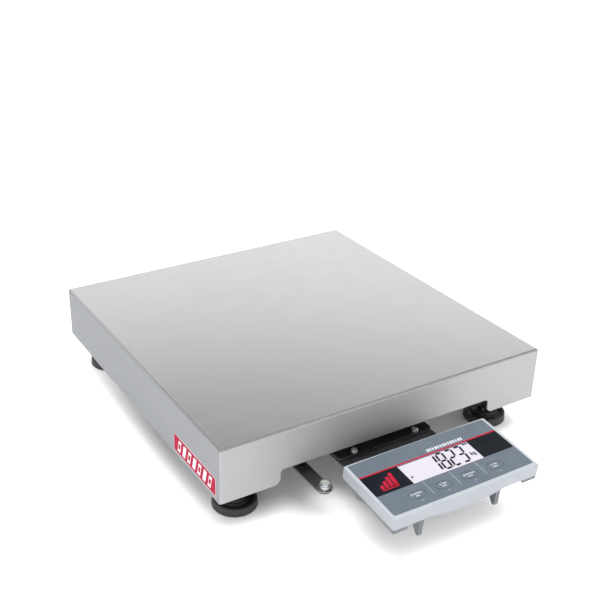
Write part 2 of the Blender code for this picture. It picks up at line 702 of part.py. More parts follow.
def build_rear_housing(parent):
    """The dark tray under the bezel: a flange with two cheeks, a wedge, desk feet and bosses."""
    flange_top = FACE_Z - BEZEL_DEPTH - GAP
    flange_base = flange_top - FLANGE_SHEET
    inset = 2 * FLANGE_INSET
    flange = face_outline(FACE_WIDTH - inset, FACE_LENGTH - inset, FACE_MIDDLE, FLANGE_CORNER)
    rear = piece("rear_housing", prism(flange, flange_base, flange_top), "dark_plastic", parent)
    front = FACE_FRONT + 0.006
    back = FACE_BACK - 0.004
    outside = wedge(front, back, REAR_BOTTOM, REAR_SLOPE_TOP, REAR_SLOPE_Y, flange_top - 0.001)
    tray = prism(outside, -REAR_HALF, REAR_HALF, "x")
    round_edges(tray, lambda p: p.z < flange_top - 0.0015, REAR_ROUND, 2)
    weld(rear, tray)
    add_desk_feet(rear)
    for _, x in side_names():
        weld(rear, prism(CHEEK, *sorted((x * CHEEK_X[0], x * CHEEK_X[1])), "x"))
        start, end = sorted((x * (REAR_HALF + GAP), x * (KNOB_X[1] + 0.0008)))
        slot = (-FLANGE_SLOT_HALF, FLANGE_SLOT_HALF)
        cut(rear, block((start, slot[0], flange_base - 0.001), (end, slot[1], flange_top + 0.002)))
    wall = SHELL_WALL
    floor = REAR_BOTTOM + wall
    rise = REAR_SLOPE_TOP + 0.0017
    inside = wedge(front + wall, back - wall, floor, rise, REAR_SLOPE_Y, flange_top + 0.002)
    cut(rear, prism(inside, wall - REAR_HALF, REAR_HALF - wall, "x"))
    for _, x in side_names():
        start, end = sorted((x * (REAR_HALF - 0.0072), x * (REAR_HALF - 0.0010)))
        weld(rear, rod(PIVOT_BOSS_RADIUS, start, end, 18, "x"))
        start, end = sorted((x * (REAR_HALF - 0.006), x * (REAR_HALF + 0.002)))
        cut(rear, rod(PIVOT_HOLE_RADIUS, start, end, 16, "x"))
    socket = rod(INLET_RADIUS + GAP, back - 0.006, back + 0.002, 20, "y")
    cut(rear, moved(socket, (INLET_X, 0, INLET_Z)))
    finish(rear)
    hole = 0.0028
    barrel = [(0, -0.0080), (INLET_RADIUS, -0.0080), (INLET_RADIUS, 0.0008)]
    barrel += [(hole, 0.0008), (hole, -0.0065), (0, -0.0065)]
    inlet = piece("power_inlet", turned(barrel, 20, "y"), "dark_plastic", parent, (INLET_X, back, INLET_Z))
    finish(inlet)


def add_desk_feet(rear):
    """Two fins under the front edge, upright in front and slanting up towards the rear."""
    toe, heel, root = (FACE_FRONT + y for y in DESK_FOOT_Y)
    top, tip = DESK_FOOT_Z
    outline = [(toe, top), (toe, tip), (heel, tip), (root, top)]
    for _, x in side_names():
        start, end = sorted((x * DESK_FOOT_X[0], x * DESK_FOOT_X[1]))
        weld(rear, prism(outline, start, end, "x"))


def knob_disc():
    """Round outline with eight shallow grip flutes."""
    points = []
    for i in range(48):
        a = 2 * pi * i / 48
        radius = KNOB_RADIUS - KNOB_FLUTE * (1 + cos(8 * a))
        points.append((radius * cos(a), radius * sin(a)))
    return points


def build_knobs(parent):
    """A fluted clamp knob on each end of the tilt axis."""
    for side, x in side_names():
        shape = prism(knob_disc(), *sorted((x * KNOB_X[0], x * KNOB_X[1])), "x")
        outer = x * KNOB_X[1]
        round_edges(shape, lambda p: abs(p.x - outer) < GAP, 0.0006, 1)
        knob = piece(f"tilt_knob_{side}", shape, "dark_plastic", parent)
        start, end = sorted((x * KNOB_SHANK_START, x * (KNOB_X[0] + 0.002)))
        weld(knob, rod(KNOB_SHANK_RADIUS, start, end, 16, "x"))
        finish(knob)


def build_scale():
    for old in list(bpy.data.objects):
        bpy.data.objects.remove(old)
    origin = empty("scale_origin", (0, SET_BACK, 0))
    build_pan(origin)
    build_rails(origin)
    build_feet(origin)
    build_load_cell(origin)
    build_upper_frame(origin)
    build_overload_stops(origin)
    build_carrier(origin)
    build_level(origin)
    axis = empty("tilt_axis", (0, AXIS_Y, AXIS_Z), origin)
    build_tilt_bracket(axis)
    head = empty("indicator_origin", (0, 0, 0), axis, REST_TILT)
    build_front_housing(head)
    build_face(head)
    build_rear_housing(head)
    build_knobs(head)
    bpy.context.view_layer.update()


build_scale()
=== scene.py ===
import json
from math import ceil, cos, pi, radians, sin

import bmesh
import bpy
from mathutils import Matrix, Vector

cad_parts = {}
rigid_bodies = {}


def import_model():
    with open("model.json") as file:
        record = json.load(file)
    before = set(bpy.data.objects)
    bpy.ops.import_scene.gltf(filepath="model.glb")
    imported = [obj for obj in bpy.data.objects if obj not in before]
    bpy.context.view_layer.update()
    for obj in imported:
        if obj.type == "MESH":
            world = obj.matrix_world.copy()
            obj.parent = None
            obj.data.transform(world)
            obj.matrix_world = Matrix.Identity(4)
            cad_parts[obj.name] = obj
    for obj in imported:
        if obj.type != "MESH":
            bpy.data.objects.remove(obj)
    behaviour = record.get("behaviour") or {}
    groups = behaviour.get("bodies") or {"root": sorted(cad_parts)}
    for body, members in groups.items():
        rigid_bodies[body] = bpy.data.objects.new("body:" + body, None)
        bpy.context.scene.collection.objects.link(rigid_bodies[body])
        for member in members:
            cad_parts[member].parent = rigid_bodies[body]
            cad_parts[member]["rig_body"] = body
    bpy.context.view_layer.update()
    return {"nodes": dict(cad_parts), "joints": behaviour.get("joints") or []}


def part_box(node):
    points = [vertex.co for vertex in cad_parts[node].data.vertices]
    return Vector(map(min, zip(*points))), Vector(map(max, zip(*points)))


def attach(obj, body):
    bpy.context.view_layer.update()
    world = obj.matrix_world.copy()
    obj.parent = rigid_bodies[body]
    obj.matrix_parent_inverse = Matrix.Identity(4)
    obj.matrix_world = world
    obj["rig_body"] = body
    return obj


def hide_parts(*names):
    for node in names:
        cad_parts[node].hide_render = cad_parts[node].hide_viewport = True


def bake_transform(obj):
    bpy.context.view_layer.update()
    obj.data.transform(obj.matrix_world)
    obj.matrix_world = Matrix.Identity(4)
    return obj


# Looks of the platform shipping scale. Lengths are metres in the row frame: +Z is up, and the
# indicator stands in front of the pan, towards -Y.

SIDES = ("left", "right")
CORNERS = [f"{end}_{side}" for end in ("front", "rear") for side in SIDES]

# camera
CAMERA_PLACE = Vector((-0.6298, -0.9297, 0.7204))
CAMERA_TARGET = Vector((0.0439, 0.2727, 0.0410))
CAMERA_LENS = 59.556
CAMERA_SENSOR = 36
CAMERA_SHIFT = (0.0928, -0.0027)

# light
FLOOR_GLOW_NEAR = (0.05, 0.48, 0.20, 0.33)     # glow under the scale, kept faint there as a painted shadow, and beside it, and where it changes
FLOOR_GLOW_FAR = (0.0, 0.27, 1.0, 4.0)         # what is added far away, and where it starts and ends
HORIZON = (0.43, (1.0, 1.0, 1.0))              # height of a direction, and its light
OVERHEAD = (0.54, (0.08, 0.08, 0.084))
ZENITH = (0.90, (0.22, 0.22, 0.225))
COVE_STRENGTH = 1.95

# pan
SHEET = 0.0015
BEND = 0.0030
NOTCH_HALF = 0.151
NOTCH_HEIGHT = 0.019
NOTCH_TOP_RADIUS = 0.005
NOTCH_MOUTH_RADIUS = 0.008
LABEL_Y = (-0.1500, -0.0455)
LABEL_Z = (0.0465, 0.0705)
LABEL_BORDER = 0.0007
LABEL_BARS = 7
LABEL_ENDS = (0.010, 0.006)         # plain red before the first bar and after the last step
LABEL_EDGE = 0.0040                 # plain red above and below the bars
BAR_SHARE = 0.55                    # of each step
BAR_LEAN = 0.0022
SLIT_SHARE = 0.17
SLIT_EDGE = 0.0042

# feet
THREAD_RADIUS = 0.005
THREAD_PITCH = 0.0015
THREAD_DEPTH = 0.0007
FOOT_HEX = 0.017
FOOT_HEX_Z = (0.0128, 0.0188)
HEX_CHAMFER = 0.0009

# screws: radius, height and socket radius of the small ones
PLATE_SCREW = (0.0021, 0.0014, 0.0009)
PLATE_SCREW_X = (-0.0265, 0.0235)
LEVEL_SCREW = (0.0036, 0.0017, 0.0014)
LEVEL_SCREW_Y = -0.1437

# load cell
CELL_BEND = 0.030                   # it bends within this distance of y = 0

# indicator, about its tilt axis: x to the right, y back along the face, z out of the face
REST_TILT = radians(5)
FACE = (0.200, 0.095)
FACE_Z = 0.02357
FACE_BACK = 0.03117
FACE_MIDDLE = FACE_BACK - FACE[1] / 2
BEZEL_DEPTH = 0.015
BEZEL_CORNER = 0.0025
BEZEL_ROUND = 0.0013
LIP_HALF = 0.047                    # the front wall dips in an arc between the desk feet
LIP_DEPTH = 0.005
LIP_SHEET = 0.0025
PLATE = (0.1912, 0.0858)
PLATE_Y = FACE_MIDDLE + 0.0020
PLATE_CORNER = 0.0018
PLATE_BOW = 0.0010
PLATE_TOP = FACE_Z - 0.0003
PLATE_SHEET = 0.0008
PRINT = 0.00004                     # thickness of one printed layer
PRINT_BASE = PLATE_TOP - 0.00005    # printed layers start just under the surface
BAND_Y = (FACE_BACK - 0.0570, FACE_BACK - 0.0255)
RED_LINE_Y = (FACE_BACK - 0.0256, FACE_BACK - 0.0238)
WINDOW_X = (-0.0460, 0.0520)
WINDOW_Y = (FACE_BACK - 0.0572, FACE_BACK - 0.0272)
DIVIDER_X = (-0.0360, 0.0003, 0.0363)
DIVIDER_Y = (FACE_BACK - 0.0800, FACE_BACK - 0.0590)
KEY_PITCH = 0.036
KEY_Y = FACE_BACK - 0.0725
KEY = (0.0225, 0.0115)
KEY_PROFILE = (                     # how far in from the key's edge, and how high
    (0.0001, -0.0004), (0.0001, -0.0002), (0.0004, 0.0), (0.0008, 0.0001),
    (0.0012, 0.0), (0.0016, -0.00015), (0.0030, -0.00012), (0.0045, -0.0001),
)
KEY_MARKS = (                       # the lengths of a key's two rows of marks, and its pictogram
    (0.0155, 0.0052, "power"),
    (0.0100, 0.0060, "arrow"),
    (0.0165, 0.0060, "square"),
    (0.0095, 0.0060, "zero"),
)
DIGIT_Y = FACE_BACK - 0.0411
DIGIT_SIZE = (0.0086, 0.0248)
DIGIT_STROKE = 0.0028
DIGIT_LEAN = 0.135
DIGIT_X = (-0.0054, 0.0075, 0.0203, 0.0331)
MOTIF = (-0.0830, FACE_BACK - 0.0500)
MOTIF_BARS = (0.0060, 0.0105, 0.0150, 0.0190)
MOTIF_STEP = 0.0058
MOTIF_BAR = 0.0043
TICKS = 14
TICK_STEP = 0.0037
TICK_Y = (FACE_BACK - 0.0214, FACE_BACK - 0.0172)
SEGMENTS = {"1": "bc", "8": "abcdefg", "2": "abdeg", "3": "abcdg"}


# ---------------------------------------------------------------- materials

class Finish:
    """A node material round one Principled shader, with short ways to vary it."""

    def __init__(self, name, colour, roughness, metallic=0.0, **more):
        self.material = bpy.data.materials.new(name)
        self.material.use_nodes = True
        self.tree = self.material.node_tree
        self.shader = self.tree.nodes["Principled BSDF"]
        self.set("Base Color", (*colour, 1.0))
        self.set("Roughness", roughness)
        self.set("Metallic", metallic)
        for socket, value in more.items():
            self.set(socket.replace("_", " "), value)
        self.height = None

    def set(self, socket, value):
        self.shader.inputs[socket].default_value = value

    def node(self, kind, **settings):
        made = self.tree.nodes.new(kind)
        for name, value in settings.items():
            setattr(made, name, value)
        return made

    def link(self, source, target):
        self.tree.links.new(source, target)

    def places(self, stretch=(1, 1, 1), turn=(0, 0, 0)):
        """Row-frame coordinates of the piece, stretched and turned for a pattern."""
        source = self.node("ShaderNodeTexCoord").outputs["Object"]
        mapping = self.node("ShaderNodeMapping")
        mapping.inputs["Scale"].default_value = stretch
        mapping.inputs["Rotation"].default_value = turn
        self.link(source, mapping.inputs["Vector"])
        return mapping.outputs["Vector"]

    def noise(self, scale, stretch=(1, 1, 1), detail=3.0, rough=0.55):
        """A noise value from 0 to 1. Scale counts its lumps per metre."""
        texture = self.node("ShaderNodeTexNoise")
        texture.inputs["Scale"].default_value = scale
        texture.inputs["Detail"].default_value = detail
        texture.inputs["Roughness"].default_value = rough
        self.link(self.places(stretch), texture.inputs["Vector"])
        return texture.outputs["Fac"]

    def cells(self, scale):
        """Distance to the nearest grain of a random scatter."""
        texture = self.node("ShaderNodeTexVoronoi")
        texture.inputs["Scale"].default_value = scale
        self.link(self.places(), texture.inputs["Vector"])
        return texture.outputs["Distance"]

    def spread(self, value, low, high, start=0.3, end=0.7):
        """Map a value between two others, held at both ends."""
        made = self.node("ShaderNodeMapRange")
        self.link(value, made.inputs["Value"])
        for name, number in zip(("From Min", "From Max", "To Min", "To Max"), (start, end, low, high)):
            made.inputs[name].default_value = number
        return made.outputs["Result"]

    def sum(self, first, second, operation="ADD"):
        made = self.node("ShaderNodeMath", operation=operation)
        for socket, value in zip(made.inputs, (first, second)):
            if isinstance(value, (int, float)):
                socket.default_value = value
            else:
                self.link(value, socket)
        return made.outputs["Value"]

    def blend(self, factor, first, second):
        """A colour between two others, each a colour or another blend."""
        made = self.node("ShaderNodeMix", data_type="RGBA")
        self.link(factor, made.inputs["Factor"])
        for socket, value in zip((made.inputs[6], made.inputs[7]), (first, second)):
            if isinstance(value, tuple):
                socket.default_value = (*value, 1.0)
            else:
                self.link(value, socket)
        return made.outputs[2]

    def edges(self, start=0.52, end=0.60):
        """1 on outer edges and 0 on flats."""
        pointed = self.node("ShaderNodeNewGeometry").outputs["Pointiness"]
        return self.spread(pointed, 0.0, 1.0, start, end)

    def colour(self, socket):
        self.link(socket, self.shader.inputs["Base Color"])

    def roughness(self, socket):
        self.link(socket, self.shader.inputs["Roughness"])

    def bump(self, height, distance, strength=1.0):
        """Add a fine relief, of one or more heights on top of each other."""
        made = self.node("ShaderNodeBump")
        made.inputs["Distance"].default_value = distance
        made.inputs["Strength"].default_value = strength
        self.link(height, made.inputs["Height"])
        if self.height:
            self.link(self.height, made.inputs["Normal"])
        self.height = made.outputs["Normal"]
        self.link(self.height, self.shader.inputs["Normal"])


def brushed_steel():
    """Satin stainless sheet. Its grain runs along X, and up and down on the side skirts. The skirts are
    painted with shade: those facing front or back are coloured darker than the top, and those facing left
    or right darker still.
    """
    steel = Finish("satin_stainless", (0.50, 0.50, 0.50), 0.34, 0.92, Specular_Tint=(0.6, 0.6, 0.6, 1.0))
    along = steel.noise(1.0, (14, 1500, 1500), 4.0, 0.7)
    up = steel.noise(1.0, (1500, 1500, 14), 4.0, 0.7)
    normal = steel.node("ShaderNodeTexCoord").outputs["Normal"]
    parts = steel.node("ShaderNodeSeparateXYZ")
    steel.link(normal, parts.inputs[0])

    def facing(axis):
        return steel.sum(parts.outputs[axis], 0.0, "ABSOLUTE")

    # facing left or right: this mask turns the grain upright, and below it also picks the painted shade of
    # the side skirts
    side_facing_grain_and_shade = steel.spread(facing("X"), 0.0, 1.0, 0.55, 0.75)
    grain = steel.node("ShaderNodeMix", data_type="FLOAT")
    steel.link(side_facing_grain_and_shade, grain.inputs[0])
    steel.link(along, grain.inputs[2])
    steel.link(up, grain.inputs[3])
    grain = grain.outputs[0]
    lines = steel.spread(grain, 0, 1, 0.35, 0.65)
    tone = steel.blend(lines, (0.500, 0.502, 0.504), (0.528, 0.530, 0.532))
    cloud = steel.noise(9.0, detail=4.0)
    clouded = steel.blend(steel.spread(cloud, 0.0, 0.4), tone, (0.508, 0.504, 0.498))
    # painted shade: skirts facing front or back are coloured darker than the top
    front_back_shade_mask = steel.spread(facing("Y"), 0.0, 1.0, 0.55, 0.75)
    shaded_walls = steel.blend(front_back_shade_mask, clouded, (0.375, 0.378, 0.384))
    # painted shade: skirts facing left or right are coloured darker still
    steel.colour(steel.blend(side_facing_grain_and_shade, shaded_walls, (0.285, 0.292, 0.305)))
    smudge = steel.noise(26.0, (1, 1.7, 1), 5.0, 0.6)
    flat = steel.spread(facing("Z"), 0.66, 0.25, 0.5, 0.95)
    fine = steel.sum(steel.spread(grain, -0.012, 0.012), steel.spread(smudge, -0.010, 0.012))
    steel.roughness(steel.sum(flat, fine))
    steel.bump(grain, 0.000002, 0.4)
    return steel.material


def plain_steel():
    """Hidden folded stainless, a little duller than the pan."""
    steel = Finish("mill_stainless", (0.52, 0.52, 0.51), 0.38, 1.0)
    streaks = steel.noise(1.0, (30, 900, 900), 3.0)
    steel.colour(steel.blend(steel.spread(streaks, 0, 1), (0.46, 0.46, 0.45), (0.58, 0.58, 0.57)))
    steel.roughness(steel.spread(steel.noise(40.0), 0.30, 0.44))
    steel.bump(streaks, 0.00002, 0.6)
    return steel.material


def powder_coat():
    """Black powder coat: a fine orange peel, with a rub of grey on its edges."""
    coat = Finish("black_powder_coat", (0.02, 0.02, 0.022), 0.42, 0.0, Specular_IOR_Level=0.5)
    peel = coat.noise(1700.0, detail=2.0)
    dust = coat.noise(60.0, detail=4.0)
    base = coat.blend(coat.spread(dust, 0.0, 1.0), (0.016, 0.016, 0.018), (0.026, 0.027, 0.030))
    worn = coat.sum(coat.edges(0.53, 0.62), coat.spread(coat.noise(220.0), 0.0, 0.55), "MULTIPLY")
    coat.colour(coat.blend(worn, base, (0.11, 0.11, 0.115)))
    coat.roughness(coat.spread(dust, 0.36, 0.50))
    coat.bump(peel, 0.00005, 0.7)
    return coat.material


def zinc_plate():
    """Bright zinc on small screws and bolts."""
    zinc = Finish("bright_zinc", (0.66, 0.67, 0.68), 0.30, 0.7)
    mottle = zinc.noise(300.0, detail=3.0)
    base = zinc.blend(zinc.spread(mottle, 0.0, 1.0), (0.58, 0.60, 0.62), (0.74, 0.74, 0.72))
    zinc.colour(zinc.blend(zinc.spread(zinc.noise(90.0), 0.0, 0.3), base, (0.62, 0.58, 0.48)))
    zinc.roughness(zinc.spread(mottle, 0.20, 0.38))
    zinc.bump(zinc.noise(2500.0), 0.00002, 0.5)
    return zinc.material


def black_oxide():
    """Oiled black steel on studs and nuts, rubbed brighter on the crests."""
    steel = Finish("black_oxide_steel", (0.03, 0.03, 0.032), 0.36, 0.75)
    oil = steel.noise(140.0, detail=3.0)
    base = steel.blend(steel.spread(oil, 0.0, 1.0), (0.022, 0.022, 0.024), (0.050, 0.049, 0.048))
    steel.colour(steel.blend(steel.edges(0.53, 0.64), base, (0.16, 0.16, 0.165)))
    steel.roughness(steel.spread(oil, 0.26, 0.46))
    steel.bump(steel.noise(1800.0), 0.00002, 0.5)
    return steel.material


def anodised():
    """Clear-anodised machined aluminium of the load cell."""
    cell = Finish("anodised_aluminium", (0.70, 0.71, 0.73), 0.34, 1.0)
    streaks = cell.noise(1.0, (700, 25, 700), 3.0)
    cell.colour(cell.blend(cell.spread(streaks, 0.0, 1.0), (0.64, 0.65, 0.67), (0.74, 0.75, 0.77)))
    cell.roughness(cell.spread(cell.noise(60.0), 0.28, 0.40))
    cell.bump(streaks, 0.00002, 0.5)
    return cell.material


def rubber():
    """Moulded black rubber with a little dust."""
    soft = Finish("moulded_rubber", (0.02, 0.02, 0.021), 0.62, 0.0, Specular_IOR_Level=0.4)
    dust = soft.noise(120.0, detail=5.0, rough=0.65)
    base = soft.blend(soft.spread(dust, 0.0, 1.0), (0.015, 0.015, 0.017), (0.030, 0.031, 0.033))
    worn = soft.sum(soft.edges(0.51, 0.60), 0.6, "MULTIPLY")
    soft.colour(soft.blend(worn, base, (0.060, 0.061, 0.064)))
    soft.roughness(soft.spread(dust, 0.50, 0.72))
    soft.bump(soft.noise(1400.0), 0.00006, 0.6)
    return soft.material


def moulded(name, dark, light):
    """Injection-moulded plastic with a fine spark texture."""
    plastic = Finish(name, dark, 0.38, 0.0, Specular_IOR_Level=0.45)
    tone = plastic.noise(25.0, detail=3.0)
    plastic.colour(plastic.blend(plastic.spread(tone, 0.0, 1.0), dark, light))
    plastic.roughness(plastic.spread(plastic.noise(80.0, detail=4.0), 0.38, 0.50))
    plastic.bump(plastic.cells(1500.0), 0.00004, 0.35)
    return plastic.material


def film(name, colour, rough=0.34, shine=0.35):
    """Ink behind a lightly textured polyester film."""
    ink = Finish(name, colour, rough, 0.0, Specular_IOR_Level=shine)
    weave = ink.noise(2600.0, detail=1.0)
    lighter = tuple(min(1.0, c * 1.07 + 0.002) for c in colour)
    darker = tuple(c * 0.95 for c in colour)
    ink.colour(ink.blend(ink.spread(ink.noise(45.0, detail=4.0), 0.0, 1.0), darker, lighter))
    ink.roughness(ink.spread(ink.noise(130.0, detail=3.0), rough - 0.02, rough + 0.04))
    ink.bump(weave, 0.00002, 0.4)
    return ink.material


def display_glass():
    """A reflective liquid-crystal panel under clear glass."""
    glass = Finish("display_glass", (0.40, 0.375, 0.42), 0.20, 0.0, Coat_Weight=0.2, Coat_Roughness=0.06)
    tint = glass.noise(30.0, detail=2.0)
    glass.colour(glass.blend(glass.spread(tint, 0.0, 1.0), (0.385, 0.362, 0.408), (0.415, 0.392, 0.433)))
    glass.roughness(glass.spread(glass.noise(2000.0), 0.14, 0.24))
    return glass.material


def chrome():
    """Polished chrome with faint wipe marks."""
    metal = Finish("polished_chrome", (0.35, 0.35, 0.36), 0.10, 1.0)
    wipe = metal.noise(500.0, (1, 1, 3), 3.0)
    metal.colour(metal.blend(metal.spread(wipe, 0.0, 1.0), (0.30, 0.31, 0.32), (0.40, 0.40, 0.41)))
    metal.roughness(metal.spread(wipe, 0.08, 0.16))
    return metal.material


def level_liquid():
    """The pale tinted liquid and dial under the spirit level's window."""
    liquid = Finish("level_liquid", (0.40, 0.42, 0.34), 0.10, 0.0, Coat_Weight=0.5, Coat_Roughness=0.03)
    tint = liquid.noise(260.0, detail=2.0)
    liquid.colour(liquid.blend(liquid.spread(tint, 0.0, 1.0), (0.36, 0.39, 0.30), (0.46, 0.48, 0.40)))
    return liquid.material


def clear_acrylic():
    """The clear dome of the spirit level."""
    clear = Finish("clear_acrylic", (1.0, 1.0, 1.0), 0.04, 0.0, Transmission_Weight=0.92, IOR=1.45)
    haze = clear.noise(400.0, detail=2.0)
    clear.colour(clear.blend(clear.spread(haze, 0.0, 1.0), (0.94, 0.97, 0.96), (1.0, 1.0, 1.0)))
    return clear.material


def paper_floor():
    """A pale floor with a glow of its own, which lightens the shadows round the scale; the glow is faint
    under the scale, which paints a shadow there, and grows away from it.
    """
    floor = Finish("pale_floor", (0.84, 0.84, 0.84), 0.9, 0.0, Specular_IOR_Level=0.0)
    tone = floor.noise(3.0, detail=2.0)
    floor.colour(floor.blend(floor.spread(tone, 0.0, 1.0), (0.835, 0.835, 0.835), (0.845, 0.845, 0.845)))
    floor.set("Emission Color", (1.0, 1.0, 1.0, 1.0))
    reach = floor.node("ShaderNodeVectorMath", operation="LENGTH")
    floor.link(floor.places(), reach.inputs[0])
    # painted light and shadow: the glow lightens the floor beside the scale and stays faint beneath it
    near = floor.spread(reach.outputs["Value"], *FLOOR_GLOW_NEAR)
    far = floor.spread(reach.outputs["Value"], *FLOOR_GLOW_FAR)
    floor.link(floor.sum(near, far), floor.shader.inputs["Emission Strength"])
    return floor.material


# ---------------------------------------------------------------- shapes

def arc(centre, radius, start, end, steps):
    """Points along an arc, with its angles in degrees."""
    turn = [radians(start + (end - start) * i / steps) for i in range(steps + 1)]
    return [(centre[0] + radius * cos(a), centre[1] + radius * sin(a)) for a in turn]


def rounded_rectangle(low, high, radius, steps=8):
    """An outline with four round corners, anticlockwise."""
    inner = (low[0] + radius, low[1] + radius, high[0] - radius, high[1] - radius)
    outline = []
    for x, y, start in ((2, 3, 0), (0, 3, 90), (0, 1, 180), (2, 1, 270)):
        outline += arc((inner[x], inner[y]), radius, start, start + 90, steps)
    return outline


def box_outline(xs, ys):
    """A rectangle between two values of each coordinate."""
    return [(xs[0], ys[0]), (xs[1], ys[0]), (xs[1], ys[1]), (xs[0], ys[1])]


def ellipse(middle, size, steps=64):
    """Points round an ellipse of a given width and length."""
    turn = [2 * pi * i / steps for i in range(steps)]
    return [(middle[0] + size[0] / 2 * cos(a), middle[1] + size[1] / 2 * sin(a)) for a in turn]


def loft(rings):
    """A skin through rings of points, capped at both ends."""
    shape = bmesh.new()
    made = [[shape.verts.new(p) for p in ring] for ring in rings]
    for first, second in zip(made, made[1:]):
        count = len(first)
        for i in range(count):
            j = (i + 1) % count
            shape.faces.new((first[i], first[j], second[j], second[i]))
    shape.faces.new(made[0][::-1])
    shape.faces.new(made[-1])
    return shape


def prism(outline, low, high):
    """An outline of x and y, stretched between two heights."""
    return loft([[(x, y, z) for x, y in outline] for z in (low, high)])


def turned(profile, segments=64, centre=(0, 0, 0)):
    """A profile of radius and height turned about a vertical axis. It starts and ends on the axis."""
    shape = bmesh.new()
    rings = []
    for radius, height in profile:
        count = segments if radius > 0 else 1
        ring = []
        for i in range(count):
            a = 2 * pi * i / segments
            ring.append(shape.verts.new((radius * cos(a), radius * sin(a), height)))
        rings.append(ring)
    for first, second in zip(rings, rings[1:]):
        for i in range(segments):
            j = (i + 1) % segments
            corners = [first[i % len(first)], first[j % len(first)]]
            corners += [second[j % len(second)], second[i % len(second)]]
            distinct = list(dict.fromkeys(corners))
            if len(distinct) > 2:
                shape.faces.new(distinct)
    return moved(shape, centre)


def moved(shape, offset):
    """The same shape, shifted."""
    bmesh.ops.translate(shape, vec=offset, verts=shape.verts)
    return shape


def joined(*shapes):
    """Several closed shapes in one mesh."""
    whole = bmesh.new()
    for shape in shapes:
        copy = bpy.data.meshes.new("part")
        shape.to_mesh(copy)
        shape.free()
        whole.from_mesh(copy)
        bpy.data.meshes.remove(copy)
    return whole


def stroke(points, width, low, high):
    """A raised line through points, as one slab for each stretch."""
    slabs = []
    for start, end in zip(points, points[1:]):
        a, b = Vector(start), Vector(end)
        run = (b - a).normalized() * width / 2
        side = Vector((-run.y, run.x))
        slabs.append(prism([a - run * 0.5 - side, b + run * 0.5 - side,
                            b + run * 0.5 + side, a - run * 0.5 + side], low, high))
    return joined(*slabs)


def applied(made):
    """Turn an object's modifiers into mesh."""
    bpy.context.view_layer.update()
    seen = made.evaluated_get(bpy.context.evaluated_depsgraph_get())
    mesh = bpy.data.meshes.new_from_object(seen)
    old = made.data
    made.modifiers.clear()
    made.data = mesh
    mesh.name = made.name
    bpy.data.meshes.remove(old)


def raw(name, shape):
    """An object from a bmesh, with outward faces."""
    bmesh.ops.recalc_face_normals(shape, faces=shape.faces)
    mesh = bpy.data.meshes.new(name)
    shape.to_mesh(mesh)
    shape.free()
    made = bpy.data.objects.new(name, mesh)
    bpy.context.scene.collection.objects.link(made)
    return made


def combined(made, shape, operation):
    """Take a helper shape out of an object, or add it."""
    helper = raw("helper", shape)
    step = made.modifiers.new("combine", "BOOLEAN")
    step.operation = operation
    step.object = helper
    applied(made)
    mesh = helper.data
    bpy.data.objects.remove(helper)
    bpy.data.meshes.remove(mesh)


def cut(made, *shapes):
    """Take several helper shapes out of an object."""
    for shape in shapes:
        combined(made, shape, "DIFFERENCE")


def dressed(made, finish, body, replaces=(), sharp=40):
    """Give an object its shading, material and slot, and its body; given two bodies instead, it is only
    fixed in place.
    """
    made.data.shade_smooth()
    made.data.set_sharp_from_angle(angle=radians(sharp))
    weigh = made.modifiers.new("even", "WEIGHTED_NORMAL")
    weigh.keep_sharp = True
    applied(made)
    made.data.materials.clear()
    made.data.materials.append(finish)
    if isinstance(body, str):
        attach(made, body)
    else:
        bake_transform(made)
    if replaces:
        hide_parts(*replaces)
    return made


def piece(name, shape, finish, body, replaces=(), sharp=40):
    """A dressed object made from a bmesh."""
    return dressed(raw(name, shape), finish, body, replaces, sharp)


def softened(node, width, segments=2, angle=38):
    """A copy of a CAD node's shape with its hard edges rounded."""
    shape = bmesh.new()
    shape.from_mesh(frame["nodes"][node].data)
    bmesh.ops.remove_doubles(shape, verts=shape.verts, dist=0.000002)
    bmesh.ops.dissolve_limit(shape, angle_limit=radians(0.4), verts=shape.verts, edges=shape.edges)
    hard = [e for e in shape.edges if e.is_manifold and e.calc_face_angle() > radians(angle)]
    bmesh.ops.bevel(shape, geom=hard, offset=width, segments=segments, profile=0.6,
                    affect="EDGES", clamp_overlap=True)
    return shape


def refined(node, width, finish, segments=2, angle=38):
    """The softened copy of a CAD node, which stands for the node."""
    shape = softened(node, width, segments, angle)
    return piece(f"{node}_look", shape, finish, frame["nodes"][node]["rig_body"], (node,))


# ---------------------------------------------------------------- pan

def notch_points(bottom):
    """The front skirt's lower edge from left to right, along the notch, as x and z."""
    top = bottom + NOTCH_HEIGHT
    mouth, inner = NOTCH_MOUTH_RADIUS, NOTCH_TOP_RADIUS
    right = arc((NOTCH_HALF + mouth, bottom + mouth), mouth, 270, 180, 8)
    right += arc((NOTCH_HALF - inner, top - inner), inner, 0, 90, 8)
    return [(-x, z) for x, z in right] + right[::-1]


